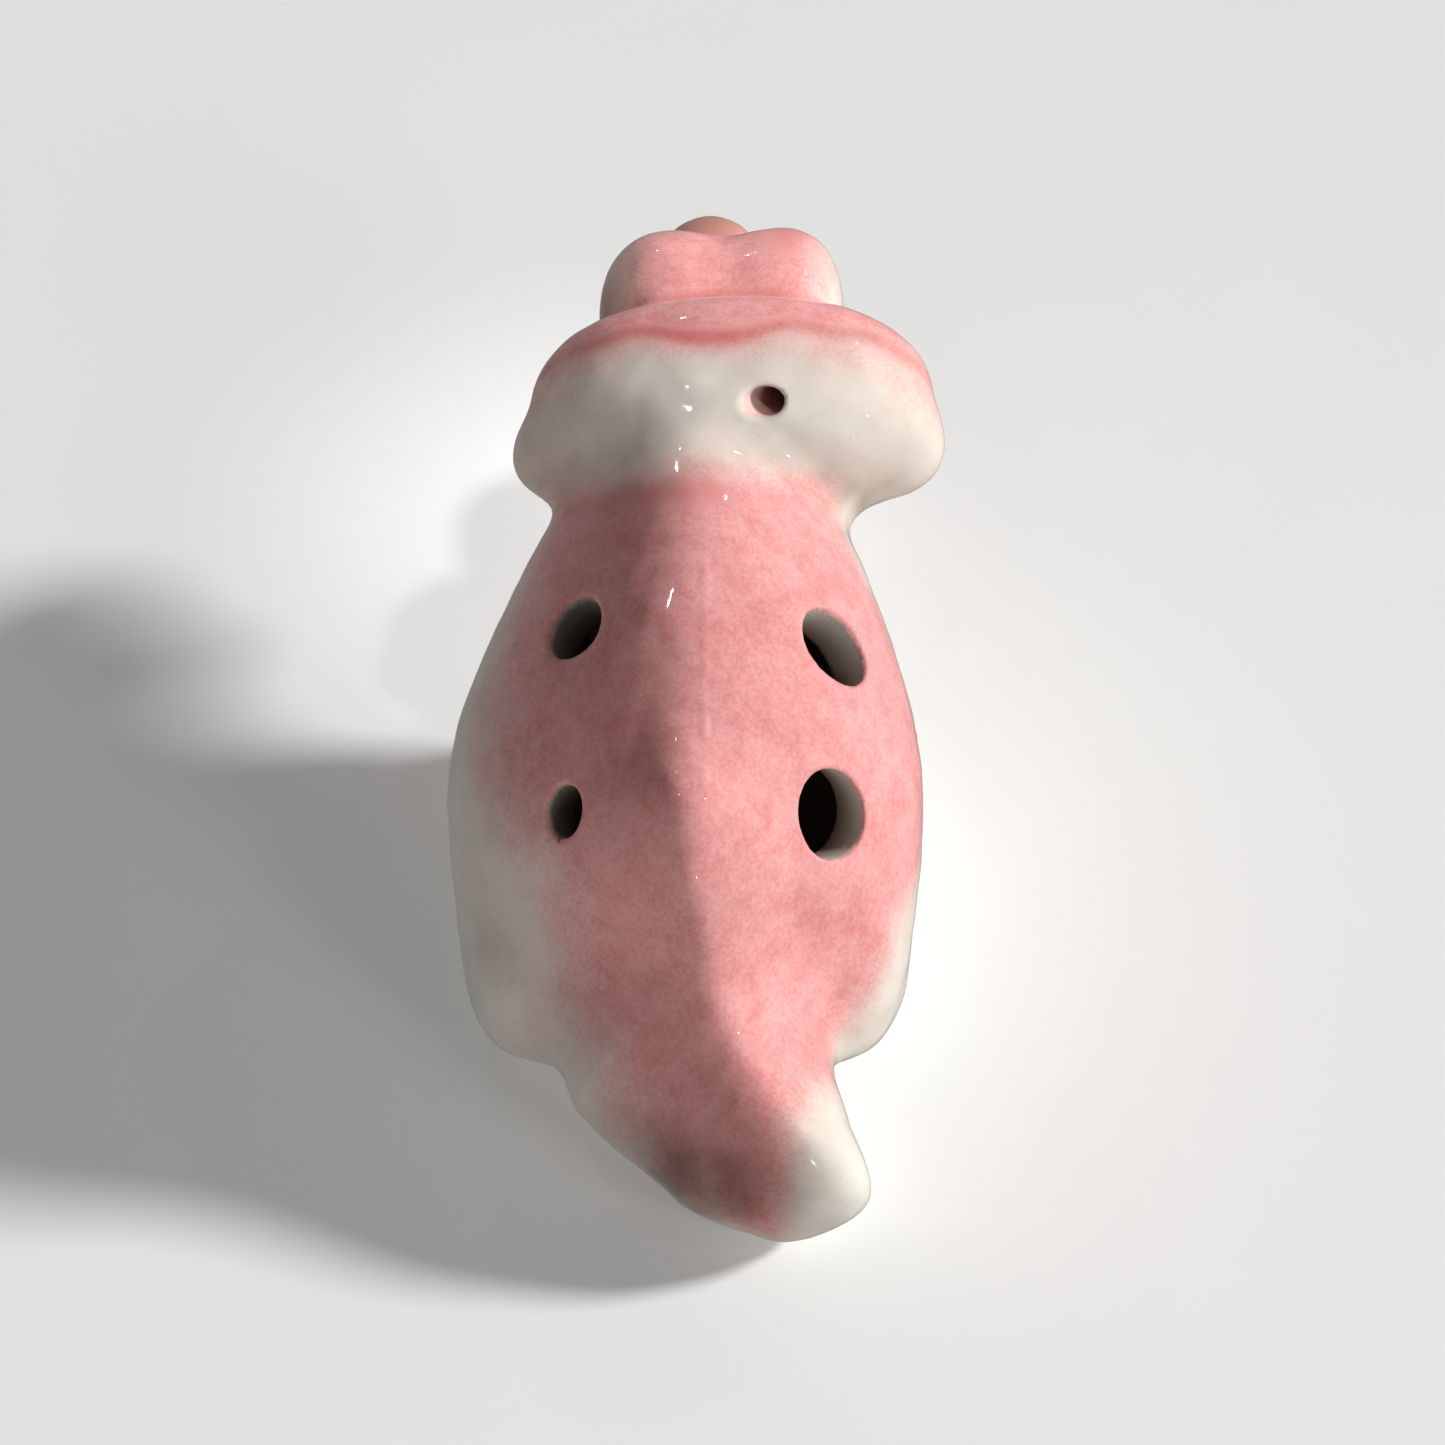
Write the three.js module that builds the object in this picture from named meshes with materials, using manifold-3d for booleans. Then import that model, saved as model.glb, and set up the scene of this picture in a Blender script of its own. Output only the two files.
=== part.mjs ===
// A hand-held ceramic ocarina in the shape of a plump, long-tailed animal.
// The animal faces +Y and its curled tail, on the -Y side, is the mouthpiece.
// Millimetres, +Z up. The soles, the belly and the underside of the tail rest on z = 0.
import * as THREE from 'three';
import { mergeVertices } from 'three/addons/utils/BufferGeometryUtils.js';
import Module from 'manifold-3d';

const wasm = await Module();
wasm.setup();

// ---------------------------------------------------------------- driving dimensions
const GAP = 0.3;              // clearance between neighbouring clay pieces
const WALL = 4.6;             // clay around the air chamber
const SEAM_X = 2.7;           // where the two body shells meet
const MUZZLE_X = 6.3;         // crease between the two muzzle lobes
const BASE_CENTRE = [1.64, 2.22]; // middle of the footprint, moved to x = y = 0 at the end

const BODY = { at: [0.5, -8, 22.5], radii: [24.4, 23.5, 22.5], power: 2.05, tilt: 26 };
const CHEST = { at: [1.9, 9, 31], radii: [16, 16, 17], power: 2.1, tilt: 30 };
const RIDGE = { x: 0.6, height: 5.5, halfWidth: 21.5, rounding: 0.14, fromZ: 18, toZ: 34 };
const TAIL_CREST = {
  height: 3.2, halfWidth: 11, rounding: 0.2, bendFrom: -22, bend: 0.0023, power: 2.64,
  fromY: -18, toY: -28, fadeY: -46, endY: -53, fromZ: 3, toZ: 10,
};
const NAPE_CREST = { x: 2, height: 0.7, halfWidth: 13, rounding: 0.1, fromY: 22, toY: 15 };
const CREST_FOOT = 0.15;      // how softly a ridge runs out at its foot
const TAIL_SPINE = [
  { at: [-1.4, -20, 13], radius: 13.2 },
  { at: [1.4, -31, 10.8], radius: 12.0 },
  { at: [7.2, -40.4, 8.6], radius: 8.4 },
  { at: [11.9, -45.2, 7.6], radius: 6.0 },
];
const TAIL_END = { at: [14.4, -50, 7.2], facing: [0.47, -0.87, -0.12] };
const HAUNCH_LEFT = { at: [-14.8, -15, 11], radii: [8, 15.3, 12], power: 2.4 };
const HAUNCH_RIGHT = { at: [15.9, -15.2, 11], radii: [8, 15, 12], power: 2.4 };
const HIND_FOOT = { y: 2.4, z: 3.7, radii: [4.8, 6.4, 4.6], power: 2.3, leftX: -16.8, rightX: 17.6 };
const FRONT_LEG = {
  knee: [7.2, 11, 19], kneeRadius: 6.4, sole: [9.4, 15.5, 3.2], soleRadius: 5.2, middleX: 1.6,
};
const SKULL = { at: [5.3, 24.4, 45], radii: [21, 12, 11.4], power: 2.35, tilt: 14, roll: -3 };
const EAR_LEFT = { at: [-12.5, 20.3, 43.2], radii: [4.9, 4.5, 4.8] };
const EAR_RIGHT = { at: [22.3, 20.3, 44.6], radii: [4.9, 4.5, 5] };
const MUZZLE_LEFT = { at: [-0.6, 40, 44.4], radii: [8.3, 9.5, 8.2], power: 2.3 };
const MUZZLE_RIGHT = { at: [10.4, 40, 44.6], radii: [6.9, 9.5, 8.4], power: 2.3 };
const CHIN = { at: [2.9, 49.3, 42.5], radii: [6.0, 6.4, 5.7] };
const EYE = { radius: 2.1, proud: 0.8, aim: [0.92, 0.44, -0.04] };
const NOSTRIL = { radius: 1.15, proud: 0.5, aim: [0.3, 0.8, 0.42] };

// Oval holes, each with a mouth point, the way it faces, the way its oval lies, and its two widths.
const FINGER_HOLES = [
  {
    at: [-10.2, -6.8, 46.9], facing: [-0.66, 0.16, 0.73],
    along: [-0.73, -0.36, -0.58], long: 6.6, short: 6.3,
  },
  {
    at: [15.6, -6.4, 43.7], facing: [0.76, 0.14, 0.64],
    along: [-0.65, 0.07, 0.76], long: 9.3, short: 7.1,
  },
  {
    at: [-11.1, -23.3, 38.9], facing: [-0.7, -0.35, 0.62],
    along: [-0.42, -0.5, -0.76], long: 5.3, short: 4.2,
  },
  {
    at: [15.2, -22, 36.5], facing: [0.71, -0.53, 0.45],
    along: [-0.42, 0.2, 0.89], long: 9.6, short: 8.1,
  },
];
const CORD_HOLE = {
  at: [8.2, 16.6, 54.5], facing: [-0.5, -0.7, 0.51],
  along: [-0.81, 0.58, 0.01], long: 3.5, short: 2.7,
};
const CORD_EXIT = {
  at: [11.1, 30.2, 34.4], facing: [-0.14, 0.33, -0.93],
  along: [1, 0, -0.15], long: 3.7, short: 3.4,
};
const FINGER_HOLE_DEPTH = 9;  // through the wall and into the chamber
const CORD_HOLE_DEPTH = 10.5; // from the nape to where it meets the hole made from the throat
const CORD_EXIT_DEPTH = 17.5;

// The windway runs straight from under the tip of the tail to the window under the body.
const WINDWAY = { from: [13.6, -49.8, 3.7], to: [4.6, -27.2, 3.7], width: 8, height: 1.4 };
const WINDOW_LENGTH = 5.2;    // from the end of the windway to the sounding edge
const THROAT_HEIGHT = 12;     // the opening from the window up into the chamber
const COVER_WIDTH = 10.4;     // the slab that closes the windway from below
const COVER_SETBACK = 0.6;    // how far the slab stops short of the window
const OVERCUT = 0.4;          // how far the windway runs into the window
const LABIUM_LENGTH = 6.5;    // the wedge behind the sounding edge
const LABIUM_EDGE = 0.6;      // thickness left at the sounding edge
const LABIUM_TOP = 1.6;
const LABIUM_BOTTOM = -1.5;
const PLUG_RADIUS = 8.6;      // clay disc between the chamber and the head
const PLUG_THICKNESS = 3.4;
const THROAT = { behind: 10, ahead: 1 }; // the passage for the plug, along the neck

// How wide the fillet is where one lump of clay runs into the next.
const FILLET = {
  chest: 12, tail: 8, tailMiddle: 6, tailTip: 5, tailEnd: 2, haunches: 5, ears: 2.5, muzzle: 5,
};

// Planes where the clay pieces were joined. Each faces into the piece named.
const NECK = { at: [3, 17.9, 39.8], facing: [0, 0.749, 0.663] };
const TAIL_JOINT = { at: [1.3, -31, 10.8], facing: [0.2, -0.97, -0.14] };
const BROW = { at: [5, 26.4, 50], facing: [0, 0.985, 0.17] };
const MUZZLE_JOINT = { at: [5, 35, 45], facing: [0, 0.97, -0.243] };
const CHIN_JOINT = { at: [2.9, 50.2, 43], facing: [0, 0.9, -0.436] };
const CHIN_SIDES = [-4.6, 10];
const EAR_LEFT_JOINT = { at: [-13.2, 20.3, 43.2], facing: [-0.95, -0.28, 0.12] };
const EAR_RIGHT_JOINT = { at: [23.2, 20.3, 44.6], facing: [0.95, -0.28, 0.12] };
const HAUNCH_LEFT_JOINT = { at: [-16.6, -16, 9], facing: [-0.94, -0.05, -0.33] };
const HAUNCH_RIGHT_JOINT = { at: [17.8, -16, 9], facing: [0.94, -0.05, -0.33] };
const HAUNCH_REAR = { at: [0, -31.6, 0], facing: [0, 1, 0] };
const HAUNCH_FRONT = { at: [0, -0.6, 6], facing: [0, -0.97, 0.24] };
const LEG_JOINT = { at: [1.6, 17, 11.3], facing: [0, 0.74, -0.673] };
const TOES_IN = { left: -10.9, right: 11.7 };
const TOES_FRONT = { at: [0, 9.3, 0], facing: [0, -1, 0] };
const TOES_TOP = { at: [0, 0, 8.8], facing: [0, 0, -1] };

// ---------------------------------------------------------------- shape fields
// Each field gives a rough distance to a surface, below zero inside it.
const point = ([x, y, z]) => new THREE.Vector3(x, y, z);

function superEllipsoid({ at, radii, power, tilt = 0, roll = 0 }) {
  const centre = point(at);
  const local = new THREE.Matrix4()
    .makeRotationX(THREE.MathUtils.degToRad(tilt))
    .multiply(new THREE.Matrix4().makeRotationY(THREE.MathUtils.degToRad(roll)))
    .invert();
  return (p) => {
    const q = p.clone().sub(centre).applyMatrix4(local);
    const a = Math.abs(q.x) / radii[0];
    const b = Math.abs(q.y) / radii[1];
    const c = Math.abs(q.z) / radii[2];
    const k = Math.max((a ** power + b ** power + c ** power) ** (1 / power), 1e-6);
    const slope = Math.hypot(
      a ** (power - 1) / radii[0],
      b ** (power - 1) / radii[1],
      c ** (power - 1) / radii[2],
    ) / k ** (power - 1);
    return (k - 1) / Math.max(slope, 1e-3);
  };
}

function ellipsoid({ at, radii }) {
  const centre = point(at);
  const size = point(radii);
  return (p) => {
    const q = p.clone().sub(centre).divide(size);
    const k = Math.max(q.length(), 1e-6);
    return (k * (k - 1)) / Math.max(q.divide(size).length(), 1e-6);
  };
}

function roundCone(a, b, radiusA, radiusB) {
  const start = point(a);
  const along = point(b).sub(start);
  return (p) => {
    const offset = p.clone().sub(start);
    const t = THREE.MathUtils.clamp(offset.dot(along) / along.lengthSq(), 0, 1);
    return offset.addScaledVector(along, -t).length() - THREE.MathUtils.lerp(radiusA, radiusB, t);
  };
}

const beyond = ({ at, facing }) => {
  const origin = point(at);
  const normal = point(facing).normalize();
  return (p) => p.clone().sub(origin).dot(normal);
};

// Joins two distances with a fillet about k wide.
function blend(a, b, k) {
  const h = Math.max(k - Math.abs(a - b), 0) / k;
  return Math.min(a, b) - h * h * k * 0.25;
}

const bodyEgg = superEllipsoid(BODY);
const chestEgg = superEllipsoid(CHEST);

// The outline across a soft ridge: 1 on its line, falling evenly to about 0 at a distance of 1.
function peak(x, rounding) {
  const fall = (Math.hypot(x, rounding) - rounding) / (Math.hypot(1, rounding) - rounding);
  return (1 - fall + Math.hypot(1 - fall, CREST_FOOT)) / 2;
}

// The body is lifted to a soft ridge along its back.
function ridgeLift(p) {
  const { x, height, halfWidth, rounding, fromZ, toZ } = RIDGE;
  return height * peak((p.x - x) / halfWidth, rounding) * THREE.MathUtils.smoothstep(p.z, fromZ, toZ);
}

// The ridge runs on down the tail, bending with it.
function tailCrest(p) {
  const { height, halfWidth, rounding, bendFrom, bend, power } = TAIL_CREST;
  const { fromY, toY, fadeY, endY, fromZ, toZ } = TAIL_CREST;
  const line = RIDGE.x + bend * Math.max(bendFrom - p.y, 0) ** power;
  const begins = THREE.MathUtils.smoothstep(-p.y, -fromY, -toY);
  const ends = THREE.MathUtils.smoothstep(p.y, endY, fadeY);
  const rises = THREE.MathUtils.smoothstep(p.z, fromZ, toZ);
  return height * peak((p.x - line) / halfWidth, rounding) * begins * ends * rises;
}

// A fainter one runs up the nape.
function napeCrest(p) {
  const { x, height, halfWidth, rounding, fromY, toY } = NAPE_CREST;
  return height * peak((p.x - x) / halfWidth, rounding) * THREE.MathUtils.smoothstep(-p.y, -fromY, -toY);
}

function trunk(p) {
  const lowered = p.clone();
  lowered.z -= ridgeLift(p);
  return blend(bodyEgg(lowered), chestEgg(lowered), FILLET.chest);
}

const tailParts = [];
for (let i = 1; i < TAIL_SPINE.length; i += 1) {
  const near = TAIL_SPINE[i - 1];
  const far = TAIL_SPINE[i];
  tailParts.push(roundCone(near.at, far.at, near.radius, far.radius));
}
const tailEnd = beyond(TAIL_END);
function tail(p) {
  const base = blend(tailParts[0](p), tailParts[1](p), FILLET.tailMiddle);
  const whole = blend(base, tailParts[2](p), FILLET.tailTip);
  return -blend(-whole, -tailEnd(p), FILLET.tailEnd);
}

const haunchLeft = superEllipsoid(HAUNCH_LEFT);
const haunchRight = superEllipsoid(HAUNCH_RIGHT);
const haunches = (p) => Math.min(haunchLeft(p), haunchRight(p));

function hindFoot(x) {
  const { y, z, radii, power } = HIND_FOOT;
  return superEllipsoid({ at: [x, y, z], radii, power });
}
const hindFootLeft = hindFoot(HIND_FOOT.leftX);
const hindFootRight = hindFoot(HIND_FOOT.rightX);

function frontLeg(side) {
  const { knee, sole, middleX } = FRONT_LEG;
  return roundCone(
    [middleX + side * knee[0], knee[1], knee[2]],
    [middleX + side * sole[0], sole[1], sole[2]],
    FRONT_LEG.kneeRadius,
    FRONT_LEG.soleRadius,
  );
}
const frontLegLeft = frontLeg(-1);
const frontLegRight = frontLeg(1);

const skull = superEllipsoid(SKULL);
const earLeft = ellipsoid(EAR_LEFT);
const earRight = ellipsoid(EAR_RIGHT);
const head = (p) => (
  blend(blend(skull(p), earLeft(p), FILLET.ears), earRight(p), FILLET.ears) - napeCrest(p)
);

const muzzleLeft = superEllipsoid(MUZZLE_LEFT);
const muzzleRight = superEllipsoid(MUZZLE_RIGHT);
const chin = ellipsoid(CHIN);
const muzzle = (p) => blend(muzzleLeft(p), muzzleRight(p), FILLET.muzzle);

// The body with its haunches and tail, which run into one another without a crease.
const torso = (p) => (
  blend(blend(trunk(p), tail(p), FILLET.tail), haunches(p), FILLET.haunches) - tailCrest(p)
);

// ---------------------------------------------------------------- closed surfaces
const STRIDE = 0.5;           // how far apart a ray is first tested
const HALVINGS = 24;          // how often the stretch that holds the surface is then halved

// Pulls a sphere's vertices along their own rays from a point inside a field onto its surface.
function wrap(field, { from, around, along }) {
  const geometry = new THREE.SphereGeometry(1, around, along);
  const positions = geometry.attributes.position;
  const origin = point(from);
  const ray = new THREE.Vector3();
  const probe = new THREE.Vector3();
  const value = (t) => field(probe.copy(origin).addScaledVector(ray, t));
  for (let i = 0; i < positions.count; i += 1) {
    ray.fromBufferAttribute(positions, i).normalize();
    let far = STRIDE;
    while (value(far) < 0) far += STRIDE;
    let near = far - STRIDE;
    for (let step = 0; step < HALVINGS; step += 1) {
      const middle = (near + far) / 2;
      if (value(middle) < 0) near = middle;
      else far = middle;
    }
    value(near);
    positions.setXYZ(i, probe.x, probe.y, probe.z);
  }
  return geometry;
}

function toSolid(geometry) {
  const bare = geometry.clone();
  bare.deleteAttribute('normal');
  bare.deleteAttribute('uv');
  const merged = mergeVertices(bare, 1e-4);
  return new wasm.Manifold(new wasm.Mesh({
    numProp: 3,
    vertProperties: new Float32Array(merged.attributes.position.array),
    triVerts: new Uint32Array(merged.index.array),
  }));
}

// Everything on the facing side of a joint plane, moved back or forward by shift.
function halfSpace({ at, facing }, shift = 0) {
  const size = 240;
  const normal = point(facing).normalize();
  const box = new THREE.BoxGeometry(size, size, size);
  box.translate(0, 0, size / 2 + shift);
  box.applyQuaternion(new THREE.Quaternion().setFromUnitVectors(new THREE.Vector3(0, 0, 1), normal));
  box.translate(...at);
  return toSolid(box);
}

const flipped = ({ at, facing }) => ({ at, facing: facing.map((v) => -v) });
const inFront = (joint) => halfSpace(joint, GAP / 2);
const behind = (joint) => halfSpace(flipped(joint), GAP / 2);
// The space in front of several joints at once, moved back or forward by shift.
const region = (joints, shift) => joints
  .map((joint) => halfSpace(joint, shift))
  .reduce((all, one) => all.intersect(one));

// An oval bore along its facing direction, from above its mouth to a depth below it.
function bore({ at, facing, along, long, short }, depth, sides = 18) {
  const above = 5;
  const out = point(facing).normalize();
  const across = point(along).cross(out).normalize();
  const lengthways = out.clone().cross(across);
  const pin = new THREE.CylinderGeometry(0.5, 0.5, depth + above, sides);
  pin.translate(0, (above - depth) / 2, 0);
  pin.scale(long, 1, short);
  pin.applyMatrix4(new THREE.Matrix4().makeBasis(lengthways, out, across));
  pin.translate(...at);
  return toSolid(pin);
}

// ---------------------------------------------------------------- cutters
// A frame that looks along the windway: x across it, y along it from its inner end, z up.
const wayStart = point(WINDWAY.from);
const wayEnd = point(WINDWAY.to);
const wayAlong = wayEnd.clone().sub(wayStart).normalize();
const wayAcross = new THREE.Vector3().crossVectors(wayAlong, new THREE.Vector3(0, 0, 1)).normalize();
const wayUp = new THREE.Vector3().crossVectors(wayAcross, wayAlong);
const wayFrame = new THREE.Matrix4().makeBasis(wayAcross, wayAlong, wayUp).setPosition(wayEnd);

function wayBox(width, yFrom, yTo, zFrom, zTo) {
  const box = new THREE.BoxGeometry(width, yTo - yFrom, zTo - zFrom);
  box.translate(0, (yFrom + yTo) / 2, (zFrom + zTo) / 2);
  box.applyMatrix4(wayFrame);
  return toSolid(box);
}

// A prism across the windway; its outline is drawn along the windway and upwards.
function wayPrism(outline, width) {
  const shape = new THREE.Shape(outline.map(([y, z]) => new THREE.Vector2(y, z)));
  const prism = new THREE.ExtrudeGeometry(shape, { depth: width, bevelEnabled: false });
  prism.translate(0, 0, -width / 2);
  prism.applyMatrix4(new THREE.Matrix4().makeBasis(
    new THREE.Vector3(0, 1, 0),
    new THREE.Vector3(0, 0, 1),
    new THREE.Vector3(1, 0, 0),
  ));
  prism.applyMatrix4(wayFrame);
  return toSolid(prism);
}

const BELOW = -14;            // well under the object
const WAY_LENGTH = 40;        // well past the end of the tail
const wayHalf = WINDWAY.height / 2;
const windway = wayBox(WINDWAY.width, -WAY_LENGTH, OVERCUT, -wayHalf, wayHalf);
const soundWindow = wayBox(WINDWAY.width, 0, WINDOW_LENGTH, BELOW, THROAT_HEIGHT);
const coverSlot = wayBox(COVER_WIDTH, -WAY_LENGTH, -COVER_SETBACK, BELOW, -wayHalf + GAP);
const coverBlock = wayBox(COVER_WIDTH - 2 * GAP, -WAY_LENGTH, -COVER_SETBACK - GAP, BELOW, -wayHalf);
const labiumEnd = WINDOW_LENGTH + LABIUM_LENGTH;
const labiumWidth = WINDWAY.width + 2;
const labiumSlot = wayBox(labiumWidth, WINDOW_LENGTH - 0.2, labiumEnd, BELOW, LABIUM_TOP + GAP);
const labiumWedge = wayPrism(
  [
    [WINDOW_LENGTH, -LABIUM_EDGE / 2],
    [labiumEnd - GAP, LABIUM_BOTTOM],
    [labiumEnd - GAP, LABIUM_TOP],
    [WINDOW_LENGTH + 1.5, LABIUM_TOP],
    [WINDOW_LENGTH, LABIUM_EDGE / 2],
  ],
  labiumWidth - 2 * GAP,
);

// A disc square to the neck joint, measured along the neck from the joint.
function neckDisc(radius, from, to) {
  const disc = new THREE.CylinderGeometry(radius, radius, to - from, 28);
  disc.translate(0, (from + to) / 2, 0);
  const axis = point(NECK.facing).normalize();
  disc.applyQuaternion(new THREE.Quaternion().setFromUnitVectors(new THREE.Vector3(0, 1, 0), axis));
  disc.translate(...NECK.at);
  return toSolid(disc);
}

const chamber = toSolid(wrap((p) => trunk(p) + WALL, { from: [1, -6, 22], around: 24, along: 16 }))
  .add(neckDisc(PLUG_RADIUS + GAP, -THROAT.behind, THROAT.ahead));
const fingerBores = FINGER_HOLES.map((hole) => bore(hole, FINGER_HOLE_DEPTH));
const cordBore = bore(CORD_HOLE, CORD_HOLE_DEPTH, 16)
  .add(bore(CORD_EXIT, CORD_EXIT_DEPTH, 16));

// ---------------------------------------------------------------- regions of the pieces
const REGIONS = {
  haunchLeft: [HAUNCH_LEFT_JOINT, HAUNCH_REAR, HAUNCH_FRONT],
  haunchRight: [HAUNCH_RIGHT_JOINT, HAUNCH_REAR, HAUNCH_FRONT],
  hindFootLeft: [
    flipped(HAUNCH_FRONT),
    { at: [TOES_IN.left, 0, 0], facing: [-1, 0, 0] },
    TOES_FRONT,
    TOES_TOP,
  ],
  hindFootRight: [
    flipped(HAUNCH_FRONT),
    { at: [TOES_IN.right, 0, 0], facing: [1, 0, 0] },
    TOES_FRONT,
    TOES_TOP,
  ],
  chin: [
    CHIN_JOINT,
    { at: [CHIN_SIDES[0], 0, 0], facing: [1, 0, 0] },
    { at: [CHIN_SIDES[1], 0, 0], facing: [-1, 0, 0] },
  ],
  frontFootLeft: [LEG_JOINT, { at: [FRONT_LEG.middleX, 0, 0], facing: [-1, 0, 0] }],
  frontFootRight: [LEG_JOINT, { at: [FRONT_LEG.middleX, 0, 0], facing: [1, 0, 0] }],
};
const inRegion = (name) => region(REGIONS[name], GAP / 2);
const clearOf = (...names) => names.map((name) => region(REGIONS[name], -GAP / 2));

const minus = (solid, ...cutters) => cutters.reduce((rest, cutter) => rest.subtract(cutter), solid);
const within = (solid, ...regions) => regions.reduce((rest, one) => rest.intersect(one), solid);

// ---------------------------------------------------------------- the outside of the animal
// Each lump is a closed surface of its own. Long ones are drawn from two places and stop a
// little beyond the joint between the two.
const OVERRUN = 2;
const stopped = (field, joint) => {
  const past = beyond(joint);
  return (p) => Math.max(field(p), past(p) - OVERRUN);
};
const ground = halfSpace({ at: [0, 0, 0], facing: [0, 0, 1] });
const lump = (field, drawing) => toSolid(wrap(field, drawing)).intersect(ground);

const torsoLump = lump(
  stopped(torso, TAIL_JOINT),
  { from: [1, -8, 19], around: 38, along: 26 },
);
const tailLump = lump(
  stopped(torso, flipped(TAIL_JOINT)),
  { from: [4.4, -37, 9.4], around: 24, along: 16 },
);
const haunchLeftLump = lump(torso, { from: [-16.5, -15.5, 10], around: 20, along: 16 });
const haunchRightLump = lump(torso, { from: [17.4, -15.5, 10], around: 20, along: 16 });
const footCentre = (x) => [x, HIND_FOOT.y, HIND_FOOT.z];
const hindFootLumps = [
  lump(hindFootLeft, { from: footCentre(HIND_FOOT.leftX), around: 16, along: 10 }),
  lump(hindFootRight, { from: footCentre(HIND_FOOT.rightX), around: 16, along: 10 }),
];
const frontLegLumps = [
  lump(frontLegLeft, { from: [-6.8, 13.4, 10], around: 16, along: 12 }),
  lump(frontLegRight, { from: [10, 13.4, 10], around: 16, along: 12 }),
];
const headLump = lump(head, { from: [5.1, 23.4, 44.5], around: 32, along: 20 });
const muzzleLumps = [
  lump(muzzleLeft, { from: MUZZLE_LEFT.at, around: 20, along: 14 }),
  lump(muzzleRight, { from: MUZZLE_RIGHT.at, around: 20, along: 14 }),
];
const chinLump = lump(chin, { from: CHIN.at, around: 16, along: 10 });
const legsLump = frontLegLumps[0].add(frontLegLumps[1]);
const feetLump = hindFootLumps[0].add(hindFootLumps[1]);

// ---------------------------------------------------------------- pieces
// Two pressed half shells round the air chamber, each with two finger holes.
function bodyShells() {
  const walls = minus(
    within(torsoLump.add(headLump).add(legsLump).add(feetLump), behind(NECK), behind(TAIL_JOINT)),
    ...clearOf('haunchLeft', 'haunchRight'),
    ...clearOf('hindFootLeft', 'hindFootRight'),
    ...clearOf('frontFootLeft', 'frontFootRight'),
    chamber,
    windway,
    soundWindow,
    coverSlot,
    labiumSlot,
    ...fingerBores,
  );
  const seam = { at: [SEAM_X, 0, 0], facing: [1, 0, 0] };
  return [walls.intersect(behind(seam)), walls.intersect(inFront(seam))];
}

// A lump of clay kept to its own region.
const pad = (name, solid) => solid.intersect(inRegion(name));

function tailMouthpiece() {
  return minus(
    tailLump.intersect(inFront(TAIL_JOINT)),
    ...clearOf('haunchLeft', 'haunchRight'),
    windway,
    coverSlot,
  );
}

const windwayCover = () => coverBlock.intersect(tailLump.add(torsoLump));
const labiumInsert = () => labiumWedge.intersect(torsoLump);
const neckPlug = () => neckDisc(PLUG_RADIUS, -PLUG_THICKNESS, -GAP / 2);

// The head: the nape behind the brow and the face in front of it, with the cord hole through.
function headLumps() {
  const clay = minus(
    within(
      headLump.add(torsoLump),
      inFront(NECK),
      behind(MUZZLE_JOINT),
      behind(EAR_LEFT_JOINT),
      behind(EAR_RIGHT_JOINT),
    ),
    cordBore,
  );
  const face = clay.intersect(inFront(BROW));
  return [clay.intersect(behind(BROW)), minus(face, eyeBall(-1, GAP), eyeBall(1, GAP))];
}

const ear = (joint) => within(headLump, inFront(joint), inFront(NECK));

// A ball set into a surface, aimed from a point inside it, with a little standing proud.
function ballOn(field, from, { radius, proud, aim }, side, grown = 0) {
  const ray = new THREE.Vector3(side * aim[0], aim[1], aim[2]).normalize();
  const origin = point(from);
  let reach = 2;
  while (field(origin.clone().addScaledVector(ray, reach)) < 0) reach += 0.05;
  const centre = origin.addScaledVector(ray, reach - radius + proud);
  const ball = new THREE.SphereGeometry(radius + grown, 12, 8);
  ball.translate(centre.x, centre.y, centre.z);
  return toSolid(ball);
}

// A bead of clay pressed into the face beside the muzzle.
const eyeBall = (side, grown = 0) => ballOn(skull, SKULL.at, EYE, side, grown);

function muzzleLobe(side) {
  const crease = { at: [MUZZLE_X, 0, 0], facing: [side, 0, 0] };
  const lobe = side < 0 ? MUZZLE_LEFT : MUZZLE_RIGHT;
  const clay = muzzleLumps[0].add(muzzleLumps[1]).add(chinLump).add(headLump);
  return minus(
    within(clay, inFront(MUZZLE_JOINT), inFront(crease)),
    ...clearOf('chin'),
    ballOn(muzzle, lobe.at, NOSTRIL, side),
  );
}

const chinPad = () => chinLump.add(muzzleLumps[0]).intersect(inRegion('chin'));

// ---------------------------------------------------------------- glazes
const GLOSS = 0.18;
const MATTE = 0.8;
const glaze = (color, roughness = GLOSS) => (
  new THREE.MeshStandardMaterial({ color, roughness, metalness: 0 })
);
const PINK = 0xe8a09a;
const CREAM = 0xe3dccf;
const BISQUE = 0xcdb9a6;
const DARK = 0x2a2220;

// Centres a solid's geometry on its own middle and places the mesh there.
function meshOf(name, solid, material) {
  const data = solid.getMesh();
  const geometry = new THREE.BufferGeometry();
  const stride = data.numProp;
  const positions = new Float32Array((data.vertProperties.length / stride) * 3);
  for (let i = 0; i < positions.length / 3; i += 1) {
    positions.set(data.vertProperties.subarray(i * stride, i * stride + 3), i * 3);
  }
  geometry.setAttribute('position', new THREE.BufferAttribute(positions, 3));
  geometry.setIndex(new THREE.BufferAttribute(new Uint32Array(data.triVerts), 1));
  geometry.computeBoundingBox();
  const middle = geometry.boundingBox.getCenter(new THREE.Vector3());
  geometry.translate(-middle.x, -middle.y, -middle.z);
  geometry.computeVertexNormals();
  const mesh = new THREE.Mesh(geometry, material);
  mesh.name = name;
  mesh.position.copy(middle);
  return mesh;
}

function groupOf(...meshes) {
  const group = new THREE.Group();
  group.add(...meshes);
  return group;
}

const [shellLeft, shellRight] = bodyShells();
const [headBack, headFront] = headLumps();

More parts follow.
